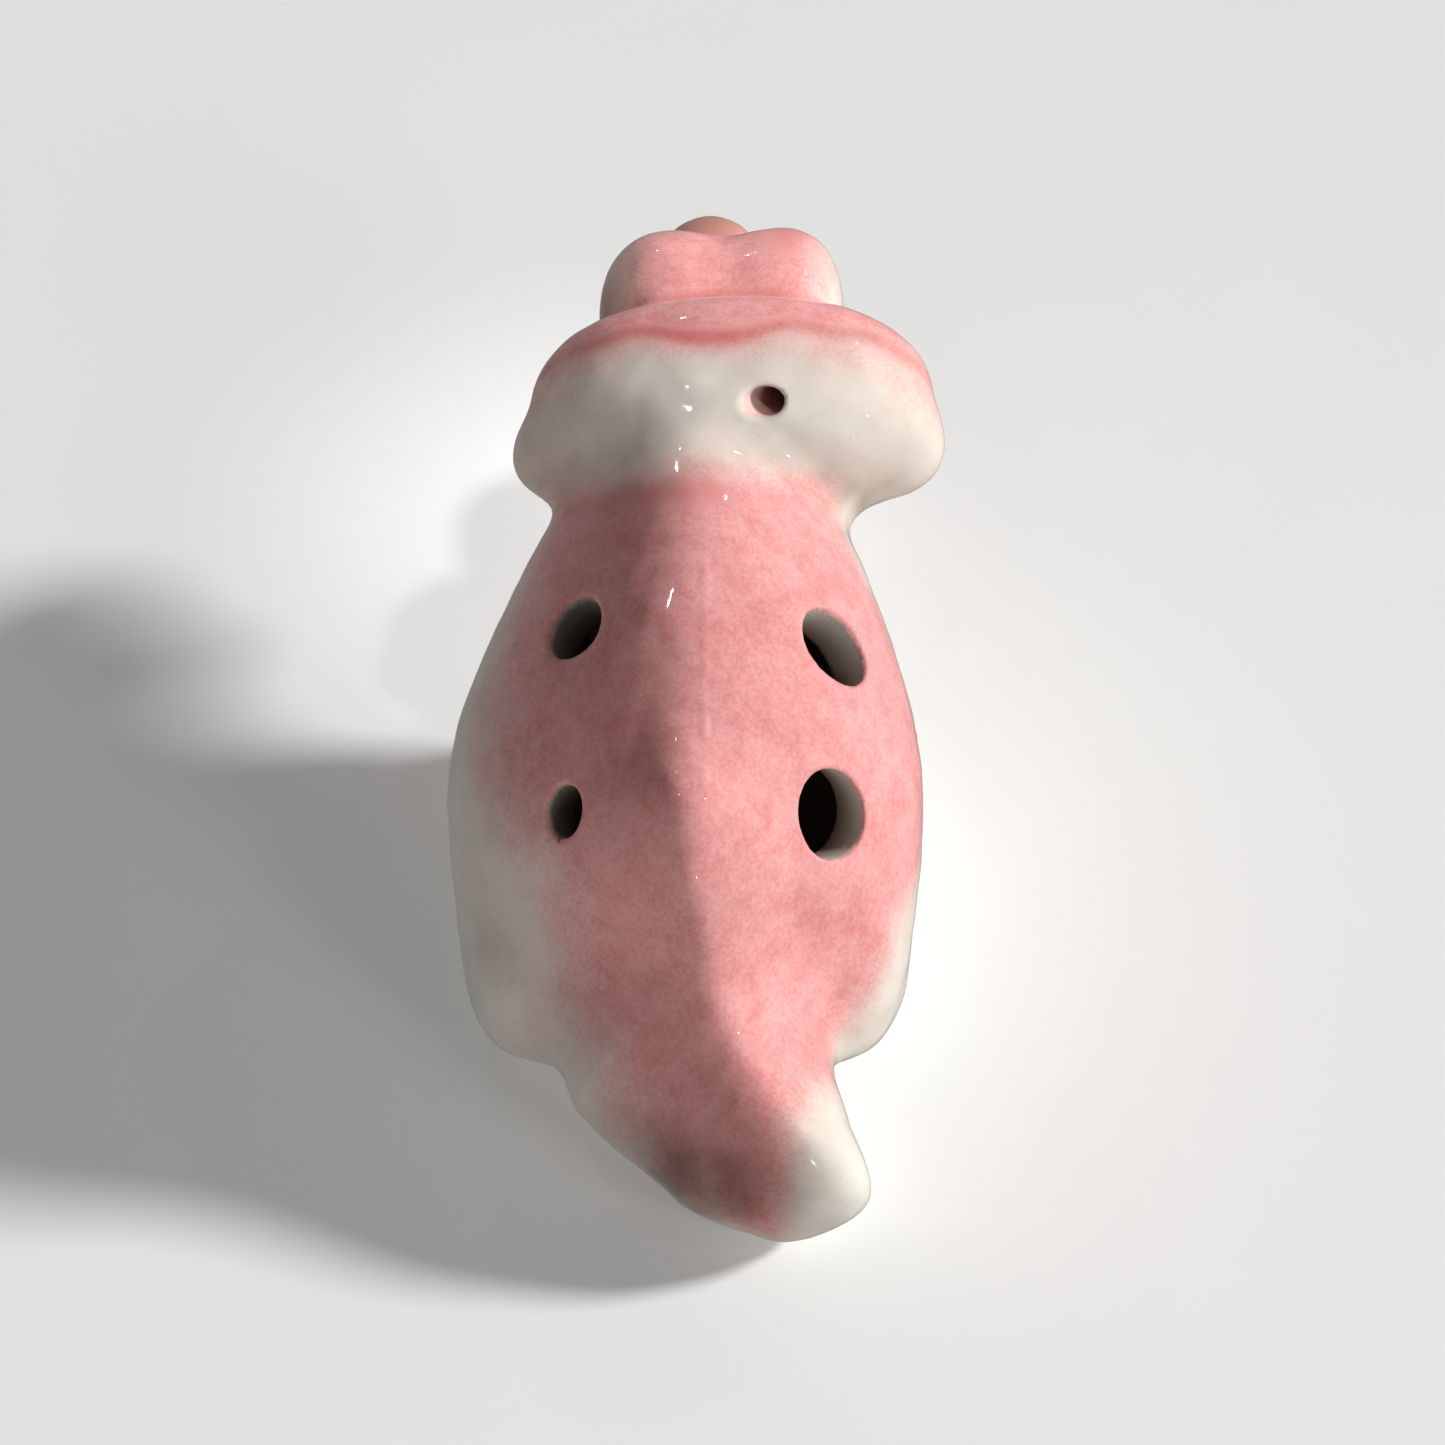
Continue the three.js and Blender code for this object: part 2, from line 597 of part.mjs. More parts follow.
const bodyGroup = groupOf(
  meshOf('body_shell_left', shellLeft, glaze(PINK)),
  meshOf('body_shell_right', shellRight, glaze(PINK)),
  meshOf('neck_plug', neckPlug(), glaze(BISQUE, MATTE)),
  meshOf('haunch_left', pad('haunchLeft', haunchLeftLump), glaze(CREAM)),
  meshOf('haunch_right', pad('haunchRight', haunchRightLump), glaze(CREAM)),
  meshOf('hind_foot_left', pad('hindFootLeft', hindFootLumps[0]), glaze(CREAM)),
  meshOf('hind_foot_right', pad('hindFootRight', hindFootLumps[1]), glaze(CREAM)),
  meshOf('front_foot_left', pad('frontFootLeft', frontLegLumps[0]), glaze(CREAM)),
  meshOf('front_foot_right', pad('frontFootRight', frontLegLumps[1]), glaze(CREAM)),
);

const tailGroup = groupOf(
  meshOf('tail_mouthpiece', tailMouthpiece(), glaze(PINK)),
  meshOf('windway_cover', windwayCover(), glaze(CREAM)),
  meshOf('labium_insert', labiumInsert(), glaze(CREAM)),
);

const headGroup = groupOf(
  meshOf('head_back', headBack, glaze(CREAM)),
  meshOf('head_front', headFront, glaze(PINK)),
  meshOf('ear_left', ear(EAR_LEFT_JOINT), glaze(CREAM)),
  meshOf('ear_right', ear(EAR_RIGHT_JOINT), glaze(CREAM)),
  meshOf('muzzle_left', muzzleLobe(-1), glaze(PINK)),
  meshOf('muzzle_right', muzzleLobe(1), glaze(PINK)),
  meshOf('chin', chinPad(), glaze(PINK)),
  meshOf('eye_left', eyeBall(-1), glaze(DARK)),
  meshOf('eye_right', eyeBall(1), glaze(DARK)),
);

const ocarina = groupOf(bodyGroup, tailGroup, headGroup);
ocarina.name = 'ocarina';
ocarina.position.set(-BASE_CENTRE[0], -BASE_CENTRE[1], 0);

export default ocarina;
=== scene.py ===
"""A glazed ceramic animal ocarina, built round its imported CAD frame.

The clay is one smooth field of distances in millimetres. Each piece is the part of it between its
own joint planes, meshed with crisp edges at the joints, so the glaze runs over them unbroken. At
a joint, one piece laps a little way under the skin of the other, so that no gap shows between them.
"""

import math

import bpy
import numpy as np
from mathutils import Matrix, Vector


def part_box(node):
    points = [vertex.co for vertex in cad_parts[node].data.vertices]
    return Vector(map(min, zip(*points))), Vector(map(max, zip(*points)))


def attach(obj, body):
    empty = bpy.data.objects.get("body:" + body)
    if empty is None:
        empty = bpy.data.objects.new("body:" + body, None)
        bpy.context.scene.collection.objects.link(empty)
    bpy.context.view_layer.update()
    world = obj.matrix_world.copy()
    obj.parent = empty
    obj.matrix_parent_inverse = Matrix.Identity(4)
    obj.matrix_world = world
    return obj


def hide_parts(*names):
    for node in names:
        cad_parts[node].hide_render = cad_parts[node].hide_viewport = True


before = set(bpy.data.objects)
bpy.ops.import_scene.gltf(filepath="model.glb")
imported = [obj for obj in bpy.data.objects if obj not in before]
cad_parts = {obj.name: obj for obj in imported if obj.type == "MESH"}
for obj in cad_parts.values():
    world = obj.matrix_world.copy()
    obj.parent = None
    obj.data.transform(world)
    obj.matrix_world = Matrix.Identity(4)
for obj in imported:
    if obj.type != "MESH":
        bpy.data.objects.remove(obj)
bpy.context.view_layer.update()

# ---------------------------------------------------------------- driving dimensions, mm
CELL = 0.5
FINE_CELL = 0.36
FINER_CELL = 0.3
EYE_CELL = 0.25
BASE_CENTRE = np.array([1.64, 2.22, 0.0])
WALL = 4.6
SEAM_X = 2.7
MUZZLE_X = 6.3

BODY = dict(at=(0.5, -8, 22.5), radii=(24.4, 23.5, 22.5), power=2.05, tilt=26)
CHEST = dict(at=(1.9, 9, 31), radii=(16, 16, 17), power=2.1, tilt=30)
RIDGE = dict(x=0.6, height=5.5, half_width=21.5, rounding=0.14, from_z=18, to_z=34)
TAIL_CREST = dict(
    height=3.2,
    half_width=11,
    rounding=0.2,
    bend_from=-22,
    bend=0.0023,
    power=2.64,
    from_y=-18,
    to_y=-28,
    fade_y=-46,
    end_y=-53,
    from_z=3,
    to_z=10,
)
NAPE_CREST = dict(x=2, height=0.7, half_width=13, rounding=0.1, from_y=22, to_y=15)
CREST_FOOT = 0.15
TAIL_SPINE = [
    ((-1.4, -20, 13), 13.2),
    ((1.4, -31, 10.8), 12.0),
    ((7.2, -40.4, 8.6), 8.4),
    ((11.9, -45.2, 7.6), 6.0),
]
TAIL_END = ((14.4, -50, 7.2), (0.47, -0.87, -0.12))
HAUNCH_LEFT = dict(at=(-14.8, -15, 11), radii=(8, 15.3, 12), power=2.4)
HAUNCH_RIGHT = dict(at=(15.9, -15.2, 11), radii=(8, 15, 12), power=2.4)
HIND_FOOT_LEFT = dict(at=(-16.8, 2.4, 3.7), radii=(4.8, 6.4, 4.6), power=2.3)
HIND_FOOT_RIGHT = dict(at=(17.6, 2.4, 3.7), radii=(4.8, 6.4, 4.6), power=2.3)
FRONT_LEG = dict(knee=(7.2, 11, 19), sole=(9.4, 15.5, 3.2), radii=(6.4, 5.2), middle=1.6)
SKULL = dict(at=(5.3, 24.4, 45), radii=(21, 12, 11.4), power=2.35, tilt=14, roll=-3)
EAR_LEFT = ((-12.5, 20.3, 43.2), (4.9, 4.5, 4.8))
EAR_RIGHT = ((22.3, 20.3, 44.6), (4.9, 4.5, 5))
MUZZLE_LEFT = dict(at=(-0.6, 40, 44.4), radii=(8.3, 9.5, 8.2), power=2.3)
MUZZLE_RIGHT = dict(at=(10.4, 40, 44.6), radii=(6.9, 9.5, 8.4), power=2.3)
CHIN = ((2.9, 49.3, 42.5), (6.0, 6.4, 5.7))
EYE = dict(radius=2.1, proud=0.8, aim=(0.92, 0.44, -0.04))
NOSTRIL = dict(radius=1.15, proud=0.5, aim=(0.3, 0.8, 0.42))
WOBBLE = dict(slow=0.1, quick=0.055)
SEAM_RIB = dict(height=0.1, width=0.42, middle=-15, reach=14)
DENTS = [
    dict(at=(-3.4, -21.6, 44.6), width=2.6, depth=0.34),
    dict(at=(0.2, -24.3, 43.5), width=1.7, depth=0.3),
    dict(at=(-2.6, -26.1, 40.7), width=2.2, depth=0.38),
    dict(at=(-0.2, -28.6, 38), width=1.8, depth=0.3),
    dict(at=(-3.6, -29.9, 33.5), width=2.4, depth=0.26),
    dict(at=(3.4, -38.4, 21.6), width=2.4, depth=0.2),
]

FINGER_HOLE_DEPTH = 9
FINGER_HOLES = [
    dict(
        at=(-10.2, -6.8, 46.9),
        facing=(-0.66, 0.16, 0.73),
        along=(-0.73, -0.36, -0.58),
        long=6.6,
        short=6.3,
    ),
    dict(
        at=(15.6, -6.4, 43.7),
        facing=(0.76, 0.14, 0.64),
        along=(-0.65, 0.07, 0.76),
        long=9.3,
        short=7.1,
    ),
    dict(
        at=(-11.1, -23.3, 38.9),
        facing=(-0.7, -0.35, 0.62),
        along=(-0.42, -0.5, -0.76),
        long=5.3,
        short=4.2,
    ),
    dict(
        at=(15.2, -22, 36.5),
        facing=(0.71, -0.53, 0.45),
        along=(-0.42, 0.2, 0.89),
        long=9.6,
        short=8.1,
    ),
]
CORD_HOLE = dict(
    at=(8.2, 16.6, 54.5),
    facing=(-0.5, -0.7, 0.51),
    along=(-0.81, 0.58, 0.01),
    long=3.5,
    short=2.7,
    depth=10.5,
)
CORD_EXIT = dict(
    at=(11.1, 30.2, 34.4),
    facing=(-0.14, 0.33, -0.93),
    along=(1, 0, -0.15),
    long=3.7,
    short=3.4,
    depth=17.5,
)

WAY_FROM, WAY_TO = np.array([13.6, -49.8, 3.7]), np.array([4.6, -27.2, 3.7])
WAY_WIDTH, WAY_HEIGHT = 8.0, 1.4
WINDOW_LENGTH, THROAT_HEIGHT = 5.2, 12.0
COVER_WIDTH, COVER_SETBACK = 10.4, 0.6
LABIUM = dict(length=6.5, edge=0.6, top=1.6, bottom=-1.5, rise_length=1.5, side=1, fit=0.2)
PLUG_RADIUS, PLUG_THICKNESS, PLUG_ROUNDING = 8.6, 3.4, 1.2
NECK = ((3, 17.9, 39.8), (0, 0.749, 0.663))

FILLET = dict(
    chest=12,
    tail_root=6,
    tail_tip=5,
    tail_end=2,
    tail=8,
    haunches=5,
    hind_feet=2.5,
    front_legs=4,
    ears=2.5,
    head=4,
    lobes=5,
    muzzle=1.6,
    chin=1.2,
    ground=1.4,
)
ROUNDING = dict(
    finger_hole=0.45,
    cord_hole=0.7,
    nostril=0.9,
    throat=1.5,
    chamber=0.9,
    windway=0.35,
    window=0.5,
)


# ---------------------------------------------------------------- distance fields
def unit(v):
    v = np.asarray(v, float)
    return v / np.linalg.norm(v)


def super_ellipsoid(at, radii, power, tilt=0, roll=0):
    a, b = math.radians(tilt), math.radians(roll)
    turn_x = np.array([[1, 0, 0], [0, math.cos(a), -math.sin(a)], [0, math.sin(a), math.cos(a)]])
    turn_y = np.array([[math.cos(b), 0, math.sin(b)], [0, 1, 0], [-math.sin(b), 0, math.cos(b)]])
    turn = turn_x @ turn_y
    radii = np.array(radii, float)

    def field(p):
        q = np.abs((p - np.array(at)) @ turn) / radii + 1e-6
        low = q ** (power - 1)
        total = np.maximum((low * q).sum(-1), 1e-9)
        k = total ** (1 / power)
        slope = np.sqrt(((low / radii) ** 2).sum(-1)) * k / total
        return (k - 1) / np.maximum(slope, 1e-3)

    return field


def ellipsoid(at, radii):
    radii = np.array(radii, float)

    def field(p):
        q = (p - np.array(at)) / radii
        k = np.sqrt((q * q).sum(-1)) + 1e-6
        q = q / radii
        return k * (k - 1) / (np.sqrt((q * q).sum(-1)) + 1e-6)

    return field


def round_cone(a, b, radius_a, radius_b):
    a, along = np.array(a, float), np.array(b, float) - np.array(a, float)

    def field(p):
        q = p - a
        t = np.clip((q @ along) / (along @ along), 0, 1)
        gap = q - t[..., None] * along
        return np.sqrt((gap * gap).sum(-1)) - (radius_a + (radius_b - radius_a) * t)

    return field


def beyond(at, facing):
    """Distance in front of a plane."""
    at, facing = np.array(at, float), unit(facing)
    return lambda p: (p - at) @ facing


def blend(a, b, k):
    """Joins two distances with a fillet about k wide."""
    h = np.maximum(k - np.abs(a - b), 0) / k
    return np.minimum(a, b) - h * h * k * 0.25


def cut(a, b, k):
    """Keeps what is inside both distances, with an edge rounded over about k."""
    return -blend(-a, -b, k)


def either(pair, p):
    """Distance outside the nearer of a left and a right shape."""
    return np.minimum(pair[0](p), pair[1](p))


def smooth_step(value, low, high):
    """0 below low, 1 above high, and an even S between."""
    share = np.clip((value - low) / (high - low), 0, 1)
    return share * share * (3 - 2 * share)


def near_to(p, at, width):
    """1 at a point, fading to nothing about twice that width away."""
    return np.exp(-((p - np.array(at, float)) ** 2).sum(-1) / width**2)


# ---------------------------------------------------------------- the animal's shapes
body_egg, chest_egg = super_ellipsoid(**BODY), super_ellipsoid(**CHEST)
tail_parts = [
    round_cone(near[0], far[0], near[1], far[1]) for near, far in zip(TAIL_SPINE, TAIL_SPINE[1:])
]
tail_end = beyond(*TAIL_END)
haunches = [super_ellipsoid(**HAUNCH_LEFT), super_ellipsoid(**HAUNCH_RIGHT)]
hind_feet = [super_ellipsoid(**HIND_FOOT_LEFT), super_ellipsoid(**HIND_FOOT_RIGHT)]
skull = super_ellipsoid(**SKULL)
ears = [ellipsoid(*EAR_LEFT), ellipsoid(*EAR_RIGHT)]
lobes = [super_ellipsoid(**MUZZLE_LEFT), super_ellipsoid(**MUZZLE_RIGHT)]
chin = ellipsoid(*CHIN)


def front_leg(side):
    knee, sole, middle = FRONT_LEG["knee"], FRONT_LEG["sole"], FRONT_LEG["middle"]
    return round_cone(
        (middle + side * knee[0], knee[1], knee[2]),
        (middle + side * sole[0], sole[1], sole[2]),
        *FRONT_LEG["radii"],
    )


front_legs = [front_leg(-1), front_leg(1)]


def peak(x, rounding):
    """The outline across a soft ridge: 1 on its line, falling evenly to about 0 at a distance of 1."""
    fall = (np.sqrt(x * x + rounding * rounding) - rounding) / (math.hypot(1, rounding) - rounding)
    return (1 - fall + np.sqrt((1 - fall) ** 2 + CREST_FOOT**2)) / 2


def trunk(p):
    """The body, lifted to a soft ridge along its back."""
    outline = peak((p[..., 0] - RIDGE["x"]) / RIDGE["half_width"], RIDGE["rounding"])
    lift = RIDGE["height"] * outline * smooth_step(p[..., 2], RIDGE["from_z"], RIDGE["to_z"])
    lowered = p - lift[..., None] * (0, 0, 1)
    return blend(body_egg(lowered), chest_egg(lowered), FILLET["chest"])


def tail_crest(p):
    """How far the ridge stands up where it runs on down the tail, bending with it."""
    crest = TAIL_CREST
    line = RIDGE["x"] + crest["bend"] * np.maximum(crest["bend_from"] - p[..., 1], 0) ** crest["power"]
    outline = peak((p[..., 0] - line) / crest["half_width"], crest["rounding"])
    begins = smooth_step(-p[..., 1], -crest["from_y"], -crest["to_y"])
    ends = smooth_step(p[..., 1], crest["end_y"], crest["fade_y"])
    above = smooth_step(p[..., 2], crest["from_z"], crest["to_z"])
    return crest["height"] * outline * begins * ends * above


def nape_crest(p):
    """How far the fainter ridge stands up that runs up the nape."""
    crest = NAPE_CREST
    outline = peak((p[..., 0] - crest["x"]) / crest["half_width"], crest["rounding"])
    return crest["height"] * outline * smooth_step(-p[..., 1], -crest["from_y"], -crest["to_y"])


def tail(p):
    f = blend(tail_parts[0](p), tail_parts[1](p), FILLET["tail_root"])
    f = blend(f, tail_parts[2](p), FILLET["tail_tip"])
    return cut(f, tail_end(p), FILLET["tail_end"])


def muzzle(p):
    return blend(lobes[0](p), lobes[1](p), FILLET["lobes"])


def hand_wobble(p):
    """The slight unevenness of clay smoothed by hand, in mm."""
    x, y, z = p[..., 0], p[..., 1], p[..., 2]
    slow = np.sin(0.41 * x + 0.7 * np.sin(0.23 * y)) * np.sin(0.37 * y + 0.9) * np.cos(0.31 * z + 0.4)
    quick = np.sin(0.93 * x + 1.3 * np.sin(0.5 * z)) * np.sin(0.88 * y + 0.6 * np.sin(0.7 * x))
    quick = quick * np.cos(0.8 * z)
    return WOBBLE["slow"] * slow + WOBBLE["quick"] * quick


def hand_marks(p):
    """Thumb dents in the back, and the fine rib left where the two shells were pressed together."""
    dents = sum(dent["depth"] * near_to(p, dent["at"], dent["width"]) for dent in DENTS)
    across = (p[..., 0] - SEAM_X) / SEAM_RIB["width"]
    lengthways = (p[..., 1] - SEAM_RIB["middle"]) / SEAM_RIB["reach"]
    broken = 0.55 + 0.45 * np.sin(0.9 * p[..., 1] + np.sin(2.1 * p[..., 1]))
    return dents - SEAM_RIB["height"] * broken * np.exp(-(across**2) - lengthways**4)


def clay(p, whole_trunk=None):
    """The outside of the animal before its holes are made."""
    f = trunk(p) if whole_trunk is None else whole_trunk
    f = blend(f, tail(p), FILLET["tail"])
    f = blend(f, either(haunches, p), FILLET["haunches"]) - tail_crest(p)
    f = blend(f, either(hind_feet, p), FILLET["hind_feet"])
    f = blend(f, either(front_legs, p), FILLET["front_legs"])
    head = skull(p)
    for ear in ears:
        head = blend(head, ear(p), FILLET["ears"])
    f = blend(f, head - nape_crest(p), FILLET["head"])
    f = blend(f, muzzle(p), FILLET["muzzle"])
    f = blend(f, chin(p), FILLET["chin"])
    return f + hand_wobble(p) + hand_marks(p)


# ---------------------------------------------------------------- windway frame
WAY_ALONG = unit(WAY_TO - WAY_FROM)
WAY_ACROSS = unit(np.cross(WAY_ALONG, (0, 0, 1)))
WAY_UP = np.cross(WAY_ACROSS, WAY_ALONG)


def way_box(width, y_from, y_to, z_from, z_to):
    """A box in the windway's frame: across, along from its inner end, and up."""

    def field(p):
        q = p - WAY_TO
        x, y, z = q @ WAY_ACROSS, q @ WAY_ALONG, q @ WAY_UP
        sides = np.maximum(np.abs(x) - width / 2, np.abs(y - (y_from + y_to) / 2) - (y_to - y_from) / 2)
        return np.maximum(sides, np.abs(z - (z_from + z_to) / 2) - (z_to - z_from) / 2)

    return field


PAST_TIP, PAST_GROUND, INTO_WINDOW = -40, -14, 0.4
half_way = WAY_HEIGHT / 2
labium_width = WAY_WIDTH + 2 * LABIUM["side"]
labium_from = WINDOW_LENGTH - LABIUM["fit"]
labium_to = WINDOW_LENGTH + LABIUM["length"]
windway = way_box(WAY_WIDTH, PAST_TIP, INTO_WINDOW, -half_way, half_way)
sound_window = way_box(WAY_WIDTH, 0, WINDOW_LENGTH, PAST_GROUND, THROAT_HEIGHT)
cover_slot = way_box(COVER_WIDTH, PAST_TIP, -COVER_SETBACK, PAST_GROUND, -half_way)
labium_slot = way_box(labium_width, labium_from, labium_to, PAST_GROUND, LABIUM["top"])


def labium_wedge(p):
    """The blade that splits the air: thin towards the window, with its ramp on the underside."""
    q = p - WAY_TO
    x, y, z = q @ WAY_ACROSS, q @ WAY_ALONG - WINDOW_LENGTH, q @ WAY_UP
    half_edge = LABIUM["edge"] / 2
    slope = (LABIUM["bottom"] + half_edge) / LABIUM["length"]
    rise = (LABIUM["top"] - half_edge) / LABIUM["rise_length"]
    under = (slope * y - half_edge - z) / math.hypot(1, slope)
    over = np.maximum(z - LABIUM["top"], (z - half_edge - rise * y) / math.hypot(1, rise))
    ends = np.maximum(-y, y - LABIUM["length"])
    sides = np.abs(x) - labium_width / 2
    return np.maximum(np.maximum(under, over), np.maximum(ends, sides))


# ---------------------------------------------------------------- holes and hollows
def bore(at, facing, along, long, short, depth):
    """An oval hole sunk from its mouth point."""
    at, facing = np.array(at, float), unit(facing)
    across = unit(np.cross(along, facing))
    lengthways = np.cross(facing, across)

    def field(p):
        q = p - at
        u, v = q @ lengthways / (long / 2), q @ across / (short / 2)
        k = np.sqrt(u * u + v * v) + 1e-6
        oval = k * (k - 1) / np.sqrt((u / long * 2) ** 2 + (v / short * 2) ** 2 + 1e-9)
        return np.maximum(oval, -depth - q @ facing)

    return field


finger_bores = [bore(**hole, depth=FINGER_HOLE_DEPTH) for hole in FINGER_HOLES]
cord_bores = [bore(**CORD_HOLE), bore(**CORD_EXIT)]


def cord_way(p):
    """The cord's way through the head, made from the nape and from the throat to meet inside."""
    return np.minimum(cord_bores[0](p), cord_bores[1](p))


neck_front = beyond(*NECK)


def neck_disc(radius, low, high):
    """A disc square to the neck joint, between two heights along the neck."""
    at, facing = np.array(NECK[0], float), unit(NECK[1])

    def field(p):
        q = p - at
        along = q @ facing
        out = q - along[..., None] * facing
        faces = np.abs(along - (low + high) / 2) - (high - low) / 2
        return np.maximum(np.sqrt((out * out).sum(-1)) - radius, faces)

    return field


THROAT_FROM, THROAT_TO = -10, 1
throat = neck_disc(PLUG_RADIUS, THROAT_FROM, THROAT_TO)


RAY_STEPS = (2, 40, 0.02)


def ball_on(field, origin, aim, radius, proud, side):
    """A ball set into a surface along a ray from a point inside it."""
    ray = unit((side * aim[0], aim[1], aim[2]))
    reach = np.arange(*RAY_STEPS)
    inside = field(np.array(origin) + reach[:, None] * ray) < 0
    centre = np.array(origin) + ray * (reach[np.argmin(inside)] - radius + proud)
    return lambda p: np.sqrt(((p - centre) ** 2).sum(-1)) - radius


nostrils = [
    ball_on(muzzle, lobe["at"], side=side, **NOSTRIL)
    for side, lobe in ((-1, MUZZLE_LEFT), (1, MUZZLE_RIGHT))
]
eyes = [ball_on(skull, SKULL["at"], side=side, **EYE) for side in (-1, 1)]


def skin(p):
    """The glazed clay with its holes and its air chamber, all edges softly rounded."""
    whole_trunk = trunk(p)
    f = cut(clay(p, whole_trunk), -p[..., 2], FILLET["ground"])
    for hole in finger_bores:
        f = cut(f, -hole(p), ROUNDING["finger_hole"])
    f = cut(f, -cord_way(p), ROUNDING["cord_hole"])
    for pit in nostrils:
        f = cut(f, -pit(p), ROUNDING["nostril"])
    chamber = blend(whole_trunk + WALL, throat(p), ROUNDING["throat"])
    f = cut(f, -chamber, ROUNDING["chamber"])
    f = cut(f, -windway(p), ROUNDING["windway"])
    return cut(f, -sound_window(p), ROUNDING["window"])


# ---------------------------------------------------------------- joints and pieces
TAIL_JOINT = beyond((1.3, -31, 10.8), (0.2, -0.97, -0.14))
BROW = beyond((5, 26.4, 50), (0, 0.985, 0.17))
MUZZLE_JOINT = beyond((5, 35, 45), (0, 0.97, -0.243))
CHIN_JOINT = beyond((2.9, 50.2, 43), (0, 0.9, -0.436))
EAR_LEFT_JOINT = beyond((-13.2, 20.3, 43.2), (-0.95, -0.28, 0.12))
EAR_RIGHT_JOINT = beyond((23.2, 20.3, 44.6), (0.95, -0.28, 0.12))
HAUNCH_LEFT_JOINT = beyond((-16.6, -16, 9), (-0.94, -0.05, -0.33))
HAUNCH_RIGHT_JOINT = beyond((17.8, -16, 9), (0.94, -0.05, -0.33))
HAUNCH_REAR = beyond((0, -31.6, 0), (0, 1, 0))
HAUNCH_FRONT = beyond((0, -0.6, 6), (0, -0.97, 0.24))
HAUNCH_BACK = beyond((0, -0.6, 6), (0, 0.97, -0.24))
LEG_JOINT = beyond((1.6, 17, 11.3), (0, 0.74, -0.673))
TOES_LEFT = beyond((-10.9, 0, 0), (-1, 0, 0))
TOES_RIGHT = beyond((11.7, 0, 0), (1, 0, 0))
TOES_FRONT = beyond((0, 9.3, 0), (0, -1, 0))
TOES_TOP = beyond((0, 0, 8.8), (0, 0, -1))
LEFT_OF_MIDDLE = beyond((FRONT_LEG["middle"], 0, 0), (-1, 0, 0))
RIGHT_OF_MIDDLE = beyond((FRONT_LEG["middle"], 0, 0), (1, 0, 0))
CHIN_LEFT = beyond((-4.6, 0, 0), (1, 0, 0))
CHIN_RIGHT = beyond((10, 0, 0), (-1, 0, 0))
SEAM = beyond((SEAM_X, 0, 0), (1, 0, 0))
CREASE = beyond((MUZZLE_X, 0, 0), (1, 0, 0))

REGIONS = {
    "haunch_left": [HAUNCH_LEFT_JOINT, HAUNCH_REAR, HAUNCH_FRONT],
    "haunch_right": [HAUNCH_RIGHT_JOINT, HAUNCH_REAR, HAUNCH_FRONT],
    "hind_foot_left": [HAUNCH_BACK, TOES_LEFT, TOES_FRONT, TOES_TOP],
    "hind_foot_right": [HAUNCH_BACK, TOES_RIGHT, TOES_FRONT, TOES_TOP],
    "front_foot_left": [LEG_JOINT, LEFT_OF_MIDDLE],
    "front_foot_right": [LEG_JOINT, RIGHT_OF_MIDDLE],
    "chin": [CHIN_JOINT, CHIN_LEFT, CHIN_RIGHT],
}


LAP = 0.8  # mm that a piece runs on past its joints
LAP_SINK = 0.06  # mm that this lap lies under the skin of the piece next to it
ROOM = 2.2  # mm that a piece may reach past the box of its CAD node


def lapped(*joints):
    """The clay in front of every joint, running on just under the skin of the clay it is luted to."""

    def under(p):
        short = np.clip(-np.min([joint(p) for joint in joints], axis=0) / LAP, 0, 1)
        return skin(p) + LAP_SINK * short

    under.shown = skin
    return [under, *[lambda p, j=joint: -j(p) - LAP for joint in joints]]


def clear_of(name):
    """Keeps what is outside a region."""
    return lambda p: np.min([joint(p) for joint in REGIONS[name]], axis=0)


def hollowed(solid):
    return lambda p: -solid(p)


# ---------------------------------------------------------------- meshing
BLOCK = 4  # grid cells along each side of a block, which is sampled exactly as a whole or not at all
FAR = 1.5  # blocks are sampled exactly up to this many times their own reach from the surface
BATCH = 200000  # grid nodes worked out at once
SETTLE_STEPS = 3  # times that points are moved on to the surface, and folded faces opened
LONGEST_SETTLE = 0.2  # mm that a point moves at most in one such step
FLAT = 0.08  # directions with less than this share of a cell's strongest pull don't move its point
SAME_EDGE = 0.25  # limits whose slopes differ less than this are settled on as one
FOLDED = 0.25  # a face that looks less than this much the surface's way has folded
TETRAHEDRON = np.array([(1, 1, 1), (1, -1, -1), (-1, 1, -1), (-1, -1, 1)], float)


def gradient(field, p, step=0.02):
    """The unit direction in which a distance grows."""
    slope = sum(field(p + step * corner)[:, None] * corner for corner in TETRAHEDRON)
    return slope / np.maximum(np.linalg.norm(slope, axis=1, keepdims=True), 1e-12)


def sample(limits, low, size, cell):
    """Every limit's distance on a grid, worked out exactly only near the surface."""
    values = np.empty((len(limits), *(size * BLOCK)), np.float32)
    corners = np.stack(np.meshgrid(*map(np.arange, size), indexing="ij"), -1).reshape(-1, 3)
    centres = low + (corners + 0.5 - 0.5 / BLOCK) * BLOCK * cell
    rough = np.max([limit(centres) for limit in limits], axis=0)
    values[:] = rough.reshape(size).repeat(BLOCK, 0).repeat(BLOCK, 1).repeat(BLOCK, 2)
    reach = FAR * cell * (BLOCK * math.sqrt(3) / 2 + 1)
    near = corners[np.abs(rough) < reach]
    steps = np.stack(np.meshgrid(*[np.arange(BLOCK)] * 3, indexing="ij"), -1).reshape(-1, 3)
    nodes = (near[:, None] * BLOCK + steps).reshape(-1, 3)
    for start in range(0, len(nodes), BATCH):
        part = nodes[start : start + BATCH]
        for row, limit in zip(values, limits):
            row[tuple(part.T)] = limit(low + part * cell)
    return values


